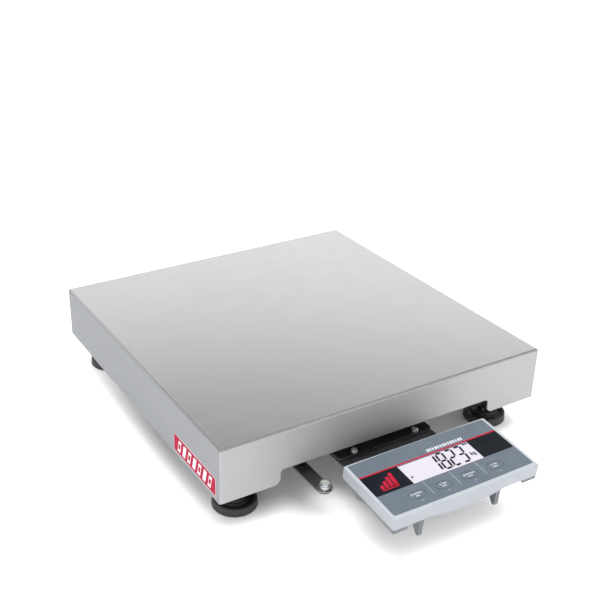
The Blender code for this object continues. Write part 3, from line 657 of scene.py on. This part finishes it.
def build_pan():
    """The folded pan: top, four skirts, round bends and the front notch, in 1.5 mm sheet."""
    (x0, y0, bottom), (x1, y1, top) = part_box("platform_pan")
    shape = bmesh.new()
    plan = ((x0, y0), (x1, y0), (x1, y1), (x0, y1))
    upper = [shape.verts.new((x, y, top)) for x, y in plan]
    lower = [shape.verts.new((x, y, bottom)) for x, y in plan]
    notch = [shape.verts.new((x, y0, z)) for x, z in notch_points(bottom)]
    shape.faces.new(upper)
    shape.faces.new([upper[0], lower[0], *notch, lower[1], upper[1]])
    for i in (1, 2, 3):
        j = (i + 1) % 4
        shape.faces.new((upper[i], lower[i], lower[j], upper[j]))
    shape.edges.ensure_lookup_table()
    folds = [e for e in shape.edges if len(e.link_faces) == 2]
    bmesh.ops.bevel(shape, geom=folds, offset=BEND, segments=8, profile=0.5, affect="EDGES")
    bmesh.ops.recalc_face_normals(shape, faces=shape.faces)
    pan = raw("pan_sheet", shape)
    shell = pan.modifiers.new("thickness", "SOLIDIFY")
    shell.thickness = SHEET
    shell.offset = -1
    shell.use_even_offset = True
    applied(pan)
    dressed(pan, STEEL, "platform", ("platform_pan",), 50)


def leaning(near, far, base, head, lean):
    """A bar's outline between near and far, whose head leans towards near and foot towards far."""
    return [(near + lean, base), (far + lean, base), (far - lean, head), (near - lean, head)]


def build_label():
    """A red vinyl label on the left skirt, with a pale border and a row of plain slanted bars."""
    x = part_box("platform_pan")[0].x
    y0, y1 = LABEL_Y
    z0, z1 = LABEL_Z

    def on_skirt(outline, inner, outer):
        return loft([[(x - d, y, z) for y, z in outline] for d in (inner, outer)])

    border = rounded_rectangle((y0, z0), (y1, z1), 0.0012)
    piece("side_label_border", on_skirt(border, 0.00002, 0.00016), LABEL_WHITE, "platform")
    b = LABEL_BORDER
    field = rounded_rectangle((y0 + b, z0 + b), (y1 - b, z1 - b), 0.0008)
    piece("side_label_field", on_skirt(field, 0.00010, 0.00024), LABEL_RED, "platform")
    bars = []
    step = (y1 - y0 - sum(LABEL_ENDS)) / LABEL_BARS
    for i in range(LABEL_BARS):
        near = y0 + LABEL_ENDS[0] + i * step
        far = near + step * BAR_SHARE
        bar = leaning(near, far, z0 + LABEL_EDGE, z1 - LABEL_EDGE, BAR_LEAN)
        bars.append(on_skirt(bar, 0.00018, 0.00032))
        if i % 2 == 0:
            middle = (near + far) / 2
            slit = step * SLIT_SHARE
            edge = LABEL_EDGE + SLIT_EDGE
            opening = leaning(middle - slit, middle + slit, z0 + edge, z1 - edge, BAR_LEAN / 2)
            name = f"side_label_slit_{i + 1}"
            piece(name, on_skirt(opening, 0.00026, 0.00040), LABEL_RED, "platform")
    piece("side_label_bars", joined(*bars), LABEL_WHITE, "platform")


# ---------------------------------------------------------------- feet

def threaded(low, high, around=28, rows=6):
    """A threaded bar with chamfered ends: each ring's radius follows a turning wave."""
    steps = ceil((high - low) / THREAD_PITCH * rows)
    rings = []
    for i in range(steps + 1):
        z = low + (high - low) * i / steps
        end = min(1.0, min(z - low, high - z) / 0.0012)
        ring = []
        for k in range(around):
            a = 2 * pi * k / around
            phase = (z / THREAD_PITCH - k / around) % 1.0
            radius = THREAD_RADIUS - THREAD_DEPTH * abs(2 * phase - 1) - 0.0007 * (1 - end)
            ring.append((radius * cos(a), radius * sin(a), z))
        rings.append(ring)
    return loft(rings)


def chamfered_hex(across, low, high):
    """A hexagon bar whose corners are turned off at both ends."""
    flat = across / 2
    radius = flat / cos(pi / 6)
    blunt = flat + (radius - flat) * 0.15
    levels = ((low, blunt), (low + HEX_CHAMFER, radius), (high - HEX_CHAMFER, radius), (high, blunt))
    count = 48
    rings = []
    for z, limit in levels:
        ring = []
        for i in range(count):
            a = 2 * pi * i / count
            off_flat = (a + pi / 6) % (pi / 3) - pi / 6
            r = min(flat / cos(off_flat), limit)
            ring.append((r * cos(a), r * sin(a), z))
        rings.append(ring)
    return loft(rings)


def pad_profile(radius):
    """The rubber pad from the middle of its sole, round its side and over its rings to the stud's hole."""
    sole = [(0, 0.0003), (0.0110, 0.0003), (0.0118, 0), (radius - 0.0036, 0)]
    side = arc((radius - 0.0026, 0.0026), 0.0026, 270, 350, 6)
    side += [(radius - 0.0001, 0.0040), (radius - 0.0006, 0.0094)]
    rim = arc((radius - 0.0021, 0.0099), 0.0014, 0, 90, 6)
    rim += arc((radius - 0.0034, 0.0105), 0.0008, 90, 180, 4)
    trough = [(radius - 0.0046, 0.0088), (radius - 0.0052, 0.0083), (0.0168, 0.0083)]
    ring = [(0.0162, 0.0086), (0.0158, 0.0100), (0.0152, 0.0104), (0.0144, 0.0104), (0.0138, 0.0098)]
    hub = [(0.0132, 0.0096), (0.0122, 0.0104), (0.0116, 0.0116)]
    hub += arc((0.0106, 0.0114), 0.0010, 10, 90, 4)
    hole = [(0.0070, 0.0124), (0.0060, 0.0119), (0.0056, 0.0114), (0.0056, 0.0060), (0, 0.0060)]
    return sole + side + rim + trough + ring + hub + hole


def build_feet():
    """Ribbed two-tier rubber pads, and threaded studs with their hexes."""
    for corner in CORNERS:
        node = f"foot_pad_{corner}"
        low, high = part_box(node)
        centre = ((low.x + high.x) / 2, (low.y + high.y) / 2, 0)
        pad = turned(pad_profile((high.x - low.x) / 2), 96, centre)
        piece(f"{node}_look", pad, RUBBER, f"pad_{corner}", (node,), 50)
        node = f"foot_stud_{corner}"
        low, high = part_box(node)
        bar = threaded(low.z, high.z)
        nut = chamfered_hex(FOOT_HEX, *FOOT_HEX_Z)
        stud = moved(joined(bar, nut), centre)
        piece(f"{node}_look", stud, OXIDE, f"stud_{corner}", (node,), 50)


# ---------------------------------------------------------------- lower frame

def build_frame():
    """Rounded edges on every folded, cut or machined piece of the frame."""
    for node in ("side_rail_left", "side_rail_right", "front_rail", "rear_rail", "cell_beam",
                 "mount_plate", "indicator_arm", "level_arm", "tilt_bracket", "load_plate",
                 "upper_beam_left", "upper_beam_right", "cross_rail_front", "cross_rail_rear"):
        refined(node, 0.0006, POWDER)
    for level in ("lower", "upper"):
        refined(f"cell_spacer_{level}", 0.0004, ZINC)
    for level in ("lower", "upper"):
        for order in ("inner", "outer"):
            refined(f"cell_bolt_{level}_{order}", 0.0004, ZINC)
    for corner in CORNERS:
        refined(f"overload_stop_{corner}", 0.0004, ZINC)
        refined(f"lock_nut_{corner}", 0.0006, OXIDE)
        refined(f"corner_pad_{corner}", 0.0005, RUBBER)
    for side in SIDES:
        refined(f"pan_stiffener_{side}", 0.0004, MILL_STEEL)


def build_load_cell():
    """The load cell's bar, whose front end is bolted to the base and rear end to the frame, sliced across
    the middle where it bends; it is fixed in place, not attached to either.
    """
    shape = softened("load_cell", 0.0005)
    steps = 10
    for i in range(steps + 1):
        y = CELL_BEND * (2 * i / steps - 1)
        whole = shape.verts[:] + shape.edges[:] + shape.faces[:]
        bmesh.ops.bisect_plane(shape, geom=whole, dist=0.000001,
                               plane_co=(0, y, 0), plane_no=(0, 1, 0))
    bodies = ("base", "weighing_frame", (0, -CELL_BEND, 0), (0, CELL_BEND, 0))
    piece("load_cell_look", shape, ANODISED, bodies, ("load_cell",))


def socket_screw(radius, height, socket, place):
    """A low screw head with a round shoulder and a round socket."""
    profile = [(0, 0), (radius, 0), (radius, height - 0.0010)]
    profile += arc((radius - 0.0010, height - 0.0010), 0.0010, 10, 90, 5)
    profile += [(socket + 0.0004, height), (socket, height - 0.0004)]
    profile += [(socket, height - 0.0022), (0, height - 0.0022)]
    return turned(profile, 48, place)


def build_screws():
    """The arm's two bright screws, and small screws on the mount plate and the level's arm."""
    plate_low, plate_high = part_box("mount_plate")
    seat = plate_high.z + 0.0003
    for side in SIDES:
        node = f"arm_bolt_{side}"
        low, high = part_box(node)
        x, y = (low.x + high.x) / 2, (low.y + high.y) / 2
        radius = (high.x - low.x) / 2
        head = socket_screw(radius - 0.0002, high.z - seat, 0.0022, (x, y, seat))
        tip = [(0, low.z), (0.0021, low.z), (0.0025, low.z + 0.0004)]
        shank = turned(tip + [(0.0025, seat + 0.0005), (0, seat + 0.0005)], 32, (x, y, 0))
        piece(f"{node}_look", joined(head, shank), ZINC, "base", (node,))
    for number, x in enumerate(PLATE_SCREW_X):
        screw = socket_screw(*PLATE_SCREW, (x, plate_low.y + 0.0150, plate_high.z))
        piece(f"plate_screw_{number + 1}", screw, OXIDE, "base")
    low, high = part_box("level_arm")
    screw = socket_screw(*LEVEL_SCREW, ((low.x + high.x) / 2, LEVEL_SCREW_Y, high.z))
    piece("level_arm_screw", screw, OXIDE, "base")


def build_level():
    """A chromed cup with a clear window, a printed ring and a bubble in pale liquid."""
    low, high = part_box("level_cup")
    x, y = (low.x + high.x) / 2, (low.y + high.y) / 2
    centre = (x, y, 0)
    flange = (high.x - low.x) / 2
    wall = flange - 0.0022
    base, top = low.z, high.z
    profile = [(0, base), (flange - 0.0003, base)]
    profile += arc((flange - 0.0006, base + 0.0006), 0.0006, 0, 90, 4)
    profile += [(wall + 0.0006, base + 0.0013), (wall, base + 0.0020), (wall, top - 0.0026)]
    profile += [(wall - 0.0004, top - 0.0023), (wall - 0.0004, top - 0.0019), (wall, top - 0.0016)]
    profile += arc((wall - 0.0007, top - 0.0007), 0.0007, 0, 180, 8)
    inner = wall - 0.0014
    profile += [(inner, top - 0.0010), (inner, top - 0.0030), (0, top - 0.0030)]
    piece("level_cup_look", turned(profile, 64, centre), CHROME, "base", ("level_cup",))
    edge = inner - 0.0001
    liquid = [(0, top - 0.0029), (edge, top - 0.0029), (edge, top - 0.0020), (0, top - 0.0020)]
    piece("level_liquid", turned(liquid, 48, centre), LIQUID, "base", ("level_window",))
    ring = box_outline((inner * 0.50, inner * 0.60), (top - 0.00202, top - 0.00190))
    piece("level_ring", moved(band_ring(ring), centre), LCD_INK, "base")
    bubble = [(0, top - 0.0020), (0.0013, top - 0.0019), (0.0015, top - 0.0016)]
    bubble += [(0.0012, top - 0.0012), (0.0006, top - 0.0010), (0, top - 0.00095)]
    off_centre = (x + 0.0003, y + 0.0002, 0)
    piece("level_bubble", turned(bubble, 32, off_centre), CLEAR, "base")
    dome = [(0, top - 0.0009), (edge, top - 0.0009), (edge, top - 0.0007)]
    dome += [(inner * 0.8, top - 0.0003), (inner * 0.4, top - 0.0001), (0, top)]
    piece("level_dome", turned(dome, 48, centre), CLEAR, "base")


def band_ring(section, segments=48):
    """A ring with a closed section of radius and height."""
    shape = bmesh.new()
    rings = []
    for radius, height in section:
        points = [(radius * cos(2 * pi * i / segments), radius * sin(2 * pi * i / segments), height)
                  for i in range(segments)]
        rings.append([shape.verts.new(p) for p in points])
    for first, second in zip(rings, rings[1:] + rings[:1]):
        for i in range(segments):
            j = (i + 1) % segments
            shape.faces.new((first[i], first[j], second[j], second[i]))
    return shape


# ---------------------------------------------------------------- indicator

def on_face(shape):
    """Move a shape drawn about the tilt axis to where the indicator rests."""
    bmesh.ops.transform(shape, matrix=HEAD, verts=shape.verts)
    return shape


def face_ring(inset, z):
    """The bezel's outline at one height, set in from its largest."""
    half_x, half_y = FACE[0] / 2 - inset, FACE[1] / 2 - inset
    radius = max(BEZEL_CORNER - inset, 0.0006)
    outline = rounded_rectangle((-half_x, FACE_MIDDLE - half_y), (half_x, FACE_MIDDLE + half_y), radius)
    return [(x, y, z) for x, y in outline]


def bowed_plate(width, length, grow=0.0):
    """The faceplate's outline: round corners, and long sides that bow out a little."""
    half_x, half_y = width / 2 + grow, length / 2 + grow
    corner = PLATE_CORNER + grow
    outline = []
    plain = rounded_rectangle((-half_x, -half_y), (half_x, half_y), corner)
    count = len(plain)
    for i in range(count):
        a, b = plain[i], plain[(i + 1) % count]
        pieces_along = 24 if abs(a[0] - b[0]) > width / 2 else 1
        for k in range(pieces_along):
            t = k / pieces_along
            outline.append((a[0] + (b[0] - a[0]) * t, a[1] + (b[1] - a[1]) * t))
    bowed = []
    for x, y in outline:
        swell = PLATE_BOW * (1 - (x / half_x) ** 2)
        bowed.append((x, PLATE_Y + y + (swell if y > 0 else -swell) * min(1, abs(y) / half_y)))
    return bowed


def lip():
    """The arc under the bezel's front wall."""
    bottom = FACE_Z - BEZEL_DEPTH
    steps = 40
    outline = [(LIP_HALF, bottom + 0.0014), (-LIP_HALF, bottom + 0.0014)]
    for i in range(steps + 1):
        t = 2 * i / steps - 1
        outline.append((LIP_HALF * t, bottom - LIP_DEPTH * (1 - t * t)))
    front = FACE_BACK - FACE[1] - 0.00005
    return loft([[(x, y, z) for x, z in outline] for y in (front, front + LIP_SHEET)])


def build_bezel():
    """The light upper housing: round shoulder, flat rim and a sunk seat for the faceplate."""
    bottom = FACE_Z - BEZEL_DEPTH
    foot = ((0.0009, 0.0), (0.0003, 0.0004), (0.0, 0.0012))
    rings = [face_ring(inset, bottom + rise) for inset, rise in foot]
    shoulder = arc((BEZEL_ROUND, FACE_Z - BEZEL_ROUND), BEZEL_ROUND, 180, 90, 8)
    rings += [face_ring(inset, z) for inset, z in shoulder]
    bezel = raw("front_housing_look", on_face(loft(rings)))
    combined(bezel, on_face(lip()), "UNION")
    seat = prism(bowed_plate(*PLATE, grow=0.0003), PLATE_TOP - PLATE_SHEET - 0.0004, FACE_Z + 0.002)
    cut(bezel, on_face(seat))
    softened = bezel.modifiers.new("soft", "BEVEL")
    softened.width = 0.0003
    softened.segments = 2
    softened.limit_method = "ANGLE"
    softened.angle_limit = radians(50)
    applied(bezel)
    dressed(bezel, LIGHT_PLASTIC, "indicator", ("front_housing",))


def printed(name, outline, finish, high):
    """A printed area on the faceplate, from just under its surface."""
    piece(name, on_face(prism(outline, PRINT_BASE, high)), finish, "indicator")


def key_middles():
    """The four keys' numbers and the x of their middles."""
    for number in range(4):
        yield number + 1, (number - 1.5) * KEY_PITCH


def build_faceplate():
    """The printed film: grey ground, dark band, red line, dividers and plain marks."""
    plate = raw("faceplate", on_face(prism(bowed_plate(*PLATE), PLATE_TOP - PLATE_SHEET, PLATE_TOP)))
    gap = 0.0002
    window_x = (WINDOW_X[0] - gap, WINDOW_X[1] + gap)
    window_y = (WINDOW_Y[0] - gap, WINDOW_Y[1] + gap)
    holes = [ellipse((x, KEY_Y), (KEY[0] + 3 * gap, KEY[1] + 3 * gap)) for _, x in key_middles()]
    holes.append(box_outline(window_x, window_y))
    cut(plate, *[on_face(prism(hole, PLATE_TOP - 0.003, PLATE_TOP + 0.003)) for hole in holes])
    dressed(plate, FACE_GREY, "indicator", ("keypad_overlay",))
    layer = PLATE_TOP + PRINT
    half = PLATE[0] / 2 - 0.0001
    for side, xs in zip(SIDES, ((-half, window_x[0]), (window_x[1], half))):
        printed(f"face_band_{side}", box_outline(xs, BAND_Y), FACE_BLACK, layer)
    printed("face_red_line", box_outline((-half, half), RED_LINE_Y), FACE_RED, layer + PRINT)
    for number, x in enumerate(DIVIDER_X):
        line = box_outline((x - 0.0004, x + 0.0004), DIVIDER_Y)
        printed(f"face_divider_{number + 1}", line, FACE_PALE, layer)
    build_marks(layer)


def slanted(x, width, base, head, lean):
    """A bar's outline from its foot at x, leaning to the right."""
    return [(x, base), (x + width, base), (x + width + lean, head), (x + lean, head)]


def build_marks(layer):
    """Plain printed marks: rising red bars on the band, a row of ticks and a dash under each key."""
    bars = []
    left, base = MOTIF
    for i, rise in enumerate(MOTIF_BARS):
        bars.append(slanted(left + i * MOTIF_STEP, MOTIF_BAR, base, base + rise, rise * 0.14))
    bars.append(box_outline((left, left + 0.0217), (base - 0.0028, base - 0.0012)))
    bars = [prism(bar, PRINT_BASE, layer + PRINT) for bar in bars]
    piece("face_motif", on_face(joined(*bars)), FACE_RED, "indicator")
    ticks = []
    for i in range(TICKS):
        tick = slanted(0.0005 + i * TICK_STEP, 0.0021 if i % 3 else 0.0027, *TICK_Y, 0.0005)
        ticks.append(prism(tick, PRINT_BASE, layer))
    piece("face_ticks", on_face(joined(*ticks)), FACE_WHITE, "indicator")
    dashes = []
    near, far = FACE_BACK - 0.0829, FACE_BACK - 0.0815
    for _, x in key_middles():
        dash = rounded_rectangle((x - 0.0019, near), (x + 0.0019, far), 0.0006)
        dashes.append(prism(dash, PRINT_BASE, layer))
    piece("face_dashes", on_face(joined(*dashes)), FACE_FAINT, "indicator")


def digit(x, segments):
    """One leaning seven-segment digit, as hexagonal bars."""
    half_w, half_h = DIGIT_SIZE[0] / 2, DIGIT_SIZE[1] / 2
    ends = {
        "a": ((-half_w, half_h), (half_w, half_h)),
        "b": ((half_w, half_h), (half_w, 0)),
        "c": ((half_w, 0), (half_w, -half_h)),
        "d": ((-half_w, -half_h), (half_w, -half_h)),
        "e": ((-half_w, 0), (-half_w, -half_h)),
        "f": ((-half_w, half_h), (-half_w, 0)),
        "g": ((-half_w, 0), (half_w, 0)),
    }
    t = DIGIT_STROKE / 2
    bars = []
    for letter in segments:
        a, b = Vector(ends[letter][0]), Vector(ends[letter][1])
        run = (b - a).normalized()
        side = Vector((-run.y, run.x)) * t
        start, end = a + run * t * 0.35, b - run * t * 0.35
        outline = [start, start + run * t + side, end - run * t + side,
                   end, end - run * t - side, start + run * t - side]
        bars.append([(x + p.x + DIGIT_LEAN * p.y, DIGIT_Y + p.y) for p in outline])
    return bars


def build_display():
    """The pale display panel, its reading in dark segments, and a few plain indicators."""
    top = PLATE_TOP - 0.0001
    outline = box_outline(WINDOW_X, WINDOW_Y)
    panel = on_face(prism(outline, PLATE_TOP - PLATE_SHEET, top))
    piece("display_panel_look", panel, DISPLAY, "indicator", ("display_panel",))
    bars = []
    for x, number in zip(DIGIT_X, "1823"):
        bars += digit(x, SEGMENTS[number])
    bars.append(ellipse((0.0112, DIGIT_Y - DIGIT_SIZE[1] / 2), (0.0020, 0.0020), 16))
    bars.append(ellipse((-0.0415, FACE_BACK - 0.0477), (0.0028, 0.0028), 24))
    bars.append(box_outline((0.0440, 0.0508), (FACE_BACK - 0.0297, FACE_BACK - 0.0277)))
    slabs = [prism(bar, top - 0.00002, top + PRINT) for bar in bars]
    slabs += unit_mark(top)
    piece("display_reading", on_face(joined(*slabs)), LCD_INK, "indicator")


def unit_mark(top):
    """The small kilogram sign at the right of the display."""
    x, y = 0.0428, FACE_BACK - 0.0478
    low, high = top - 0.00002, top + PRINT
    stem = [(x, y), (x, y + 0.0048)]
    legs = [(x + 0.0024, y + 0.0034), (x + 0.0002, y + 0.0016), (x + 0.0026, y)]
    left, right = x + 0.0036, x + 0.0058
    bowl = [(right, y + 0.0032), (left, y + 0.0032), (left, y + 0.0004), (right, y + 0.0004)]
    tail = [(right, y + 0.0034), (right, y - 0.0014), (left + 0.0002, y - 0.0014)]
    return [stroke(points, 0.0011, low, high) for points in (stem, legs, bowl, tail)]


def build_keys():
    """Four embossed oval keys with a raised rim, each with plain pale marks."""
    for (number, x), (upper, lower, icon) in zip(key_middles(), KEY_MARKS):
        rings = []
        for inset, rise in KEY_PROFILE:
            outline = ellipse((x, KEY_Y), (KEY[0] - 2 * inset, KEY[1] - 2 * inset))
            rings.append([(px, py, PLATE_TOP + 0.0002 + rise) for px, py in outline])
        body = f"button_{number}"
        key = on_face(loft(rings))
        piece(f"key_{number}_look", key, KEY_GREY, body, (f"key_{number}",), 60)
        top = PLATE_TOP + 0.0001
        marks = mark_row(x - upper / 2 + 0.0044, x + upper / 2, KEY_Y + 0.0016, top)
        marks += mark_row(x - lower / 2, x + lower / 2, KEY_Y - 0.0018, top)
        marks += key_icon(icon, (x - upper / 2 + 0.0016, KEY_Y + 0.0016), top)
        piece(f"key_{number}_marks", on_face(joined(*marks)), FACE_WHITE, body)


def mark_row(start, end, y, top):
    """A row of short plain marks on a key, in place of words."""
    count = max(2, round((end - start) / 0.0021))
    step = (end - start) / count
    marks = []
    for i in range(count):
        at = start + i * step
        outline = rounded_rectangle((at, y - 0.0007), (at + step * 0.72, y + 0.0007), 0.0003, 3)
        marks.append(prism(outline, top - 0.0001, top + PRINT))
    return marks


def key_icon(kind, centre, top):
    """A small plain pictogram for one key."""
    x, y = centre
    size = 0.0013
    if kind == "power":
        lines = [arc(centre, size, 130, 410, 12), [(x, y + 0.0004), (x, y + 0.0019)]]
    elif kind == "arrow":
        head = [(x + 0.0003, y + 0.0010), (x + size, y), (x + 0.0003, y - 0.0010)]
        lines = [[(x - size, y), (x + size, y)], head]
    elif kind == "square":
        corners = box_outline((x - size, x + size), (y - size, y + size))
        lines = [corners + corners[:1]]
    else:
        oval = ellipse(centre, (0.0017, 0.0027), 14)
        lines = [oval + oval[:1]]
    return [stroke(points, 0.0005, top - 0.0001, top + PRINT) for points in lines]


def build_rear():
    """The dark lower housing with its desk feet, seam line, screws, inlet and clamp knobs."""
    refined("rear_housing", 0.0007, DARK_PLASTIC, 3)
    refined("power_inlet", 0.0003, INLET_PLASTIC)
    for side in SIDES:
        refined(f"tilt_knob_{side}", 0.0004, INLET_PLASTIC)


# ---------------------------------------------------------------- stage

def build_camera():
    """The camera, with its shift for framing."""
    data = bpy.data.cameras.new("view")
    data.lens = CAMERA_LENS
    data.sensor_width = CAMERA_SENSOR
    data.shift_x, data.shift_y = CAMERA_SHIFT
    data.clip_start = 0.05
    camera = bpy.data.objects.new("view", data)
    bpy.context.scene.collection.objects.link(camera)
    camera.location = CAMERA_PLACE
    camera.rotation_euler = (CAMERA_TARGET - CAMERA_PLACE).to_track_quat("-Z", "Y").to_euler()
    bpy.context.scene.camera = camera


def area_light(name, place, target, size, power, mirrored=True):
    """A soft light. Metal shows it only where it is mirrored."""
    data = bpy.data.lights.new(name, "AREA")
    data.shape = "RECTANGLE"
    data.size, data.size_y = size
    data.energy = power
    light = bpy.data.objects.new(name, data)
    bpy.context.scene.collection.objects.link(light)
    light.location = place
    light.rotation_euler = (Vector(target) - Vector(place)).to_track_quat("-Z", "Y").to_euler()
    light.visible_glossy = mirrored


def build_world():
    """A bright cove: light near the horizon and dimmer overhead."""
    world = bpy.data.worlds.new("cove")
    bpy.context.scene.world = world
    world.use_nodes = True
    nodes, links = world.node_tree.nodes, world.node_tree.links
    back = nodes["Background"]
    place = nodes.new("ShaderNodeTexCoord")
    parts = nodes.new("ShaderNodeSeparateXYZ")
    ramp = nodes.new("ShaderNodeValToRGB")
    links.new(place.outputs["Generated"], parts.inputs[0])
    links.new(parts.outputs["Z"], ramp.inputs["Fac"])
    links.new(ramp.outputs["Color"], back.inputs["Color"])
    stops = ramp.color_ramp.elements
    stops.new(1.0)
    for stop, (height, light) in zip(stops, (HORIZON, OVERHEAD, ZENITH)):
        stop.position = height
        stop.color = (*light, 1.0)
    back.inputs["Strength"].default_value = COVE_STRENGTH


def build_stage():
    """The floor, the cove of light and two soft lights."""
    floor = raw("floor", prism(box_outline((-6, 6), (-6, 6)), -0.02, -0.0002))
    floor.data.materials.append(paper_floor())
    build_world()
    area_light("overhead", (0.1, 0.1, 2.3), (0, 0, 0), (2.6, 2.6), 120, mirrored=False)
    area_light("front_left", (-1.6, -1.3, 1.5), (0, 0, 0.05), (1.2, 1.2), 4)
    bpy.context.scene.view_settings.view_transform = "Standard"


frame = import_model()
build_camera()

hinge = next(j for j in frame["joints"] if j["name"] == "indicator_tilt")
HEAD = Matrix.Translation(hinge["pos_m"]) @ Matrix.Rotation(REST_TILT, 4, "X")

STEEL = brushed_steel()
MILL_STEEL = plain_steel()
POWDER = powder_coat()
ZINC = zinc_plate()
OXIDE = black_oxide()
ANODISED = anodised()
RUBBER = rubber()
CHROME = chrome()
LIQUID = level_liquid()
CLEAR = clear_acrylic()
DISPLAY = display_glass()
LIGHT_PLASTIC = moulded("light_housing", (0.262, 0.280, 0.303), (0.279, 0.298, 0.321))
DARK_PLASTIC = moulded("dark_housing", (0.101, 0.108, 0.124), (0.112, 0.120, 0.137))
INLET_PLASTIC = moulded("black_plastic", (0.018, 0.018, 0.020), (0.026, 0.026, 0.029))
FACE_GREY = film("face_grey", (0.072, 0.090, 0.110))
KEY_GREY = film("key_grey", (0.072, 0.090, 0.110))
FACE_BLACK = film("face_black", (0.003, 0.004, 0.007), 0.38, 0.12)
FACE_RED = film("face_red", (0.285, 0.004, 0.020), 0.34, 0.15)
FACE_PALE = film("face_pale", (0.209, 0.238, 0.273))
FACE_FAINT = film("face_faint", (0.139, 0.162, 0.191))
FACE_WHITE = film("face_white", (0.418, 0.429, 0.452))
LABEL_RED = film("label_red", (0.300, 0.004, 0.030), 0.42, 0.03)
LABEL_WHITE = film("label_white", (0.576, 0.518, 0.540), 0.42)
LCD_INK = film("display_ink", (0.004, 0.004, 0.007), 0.30, 0.2)

build_pan()
build_label()
build_feet()
build_frame()
build_load_cell()
build_screws()
build_level()
build_bezel()
build_faceplate()
build_display()
build_keys()
build_rear()
build_stage()
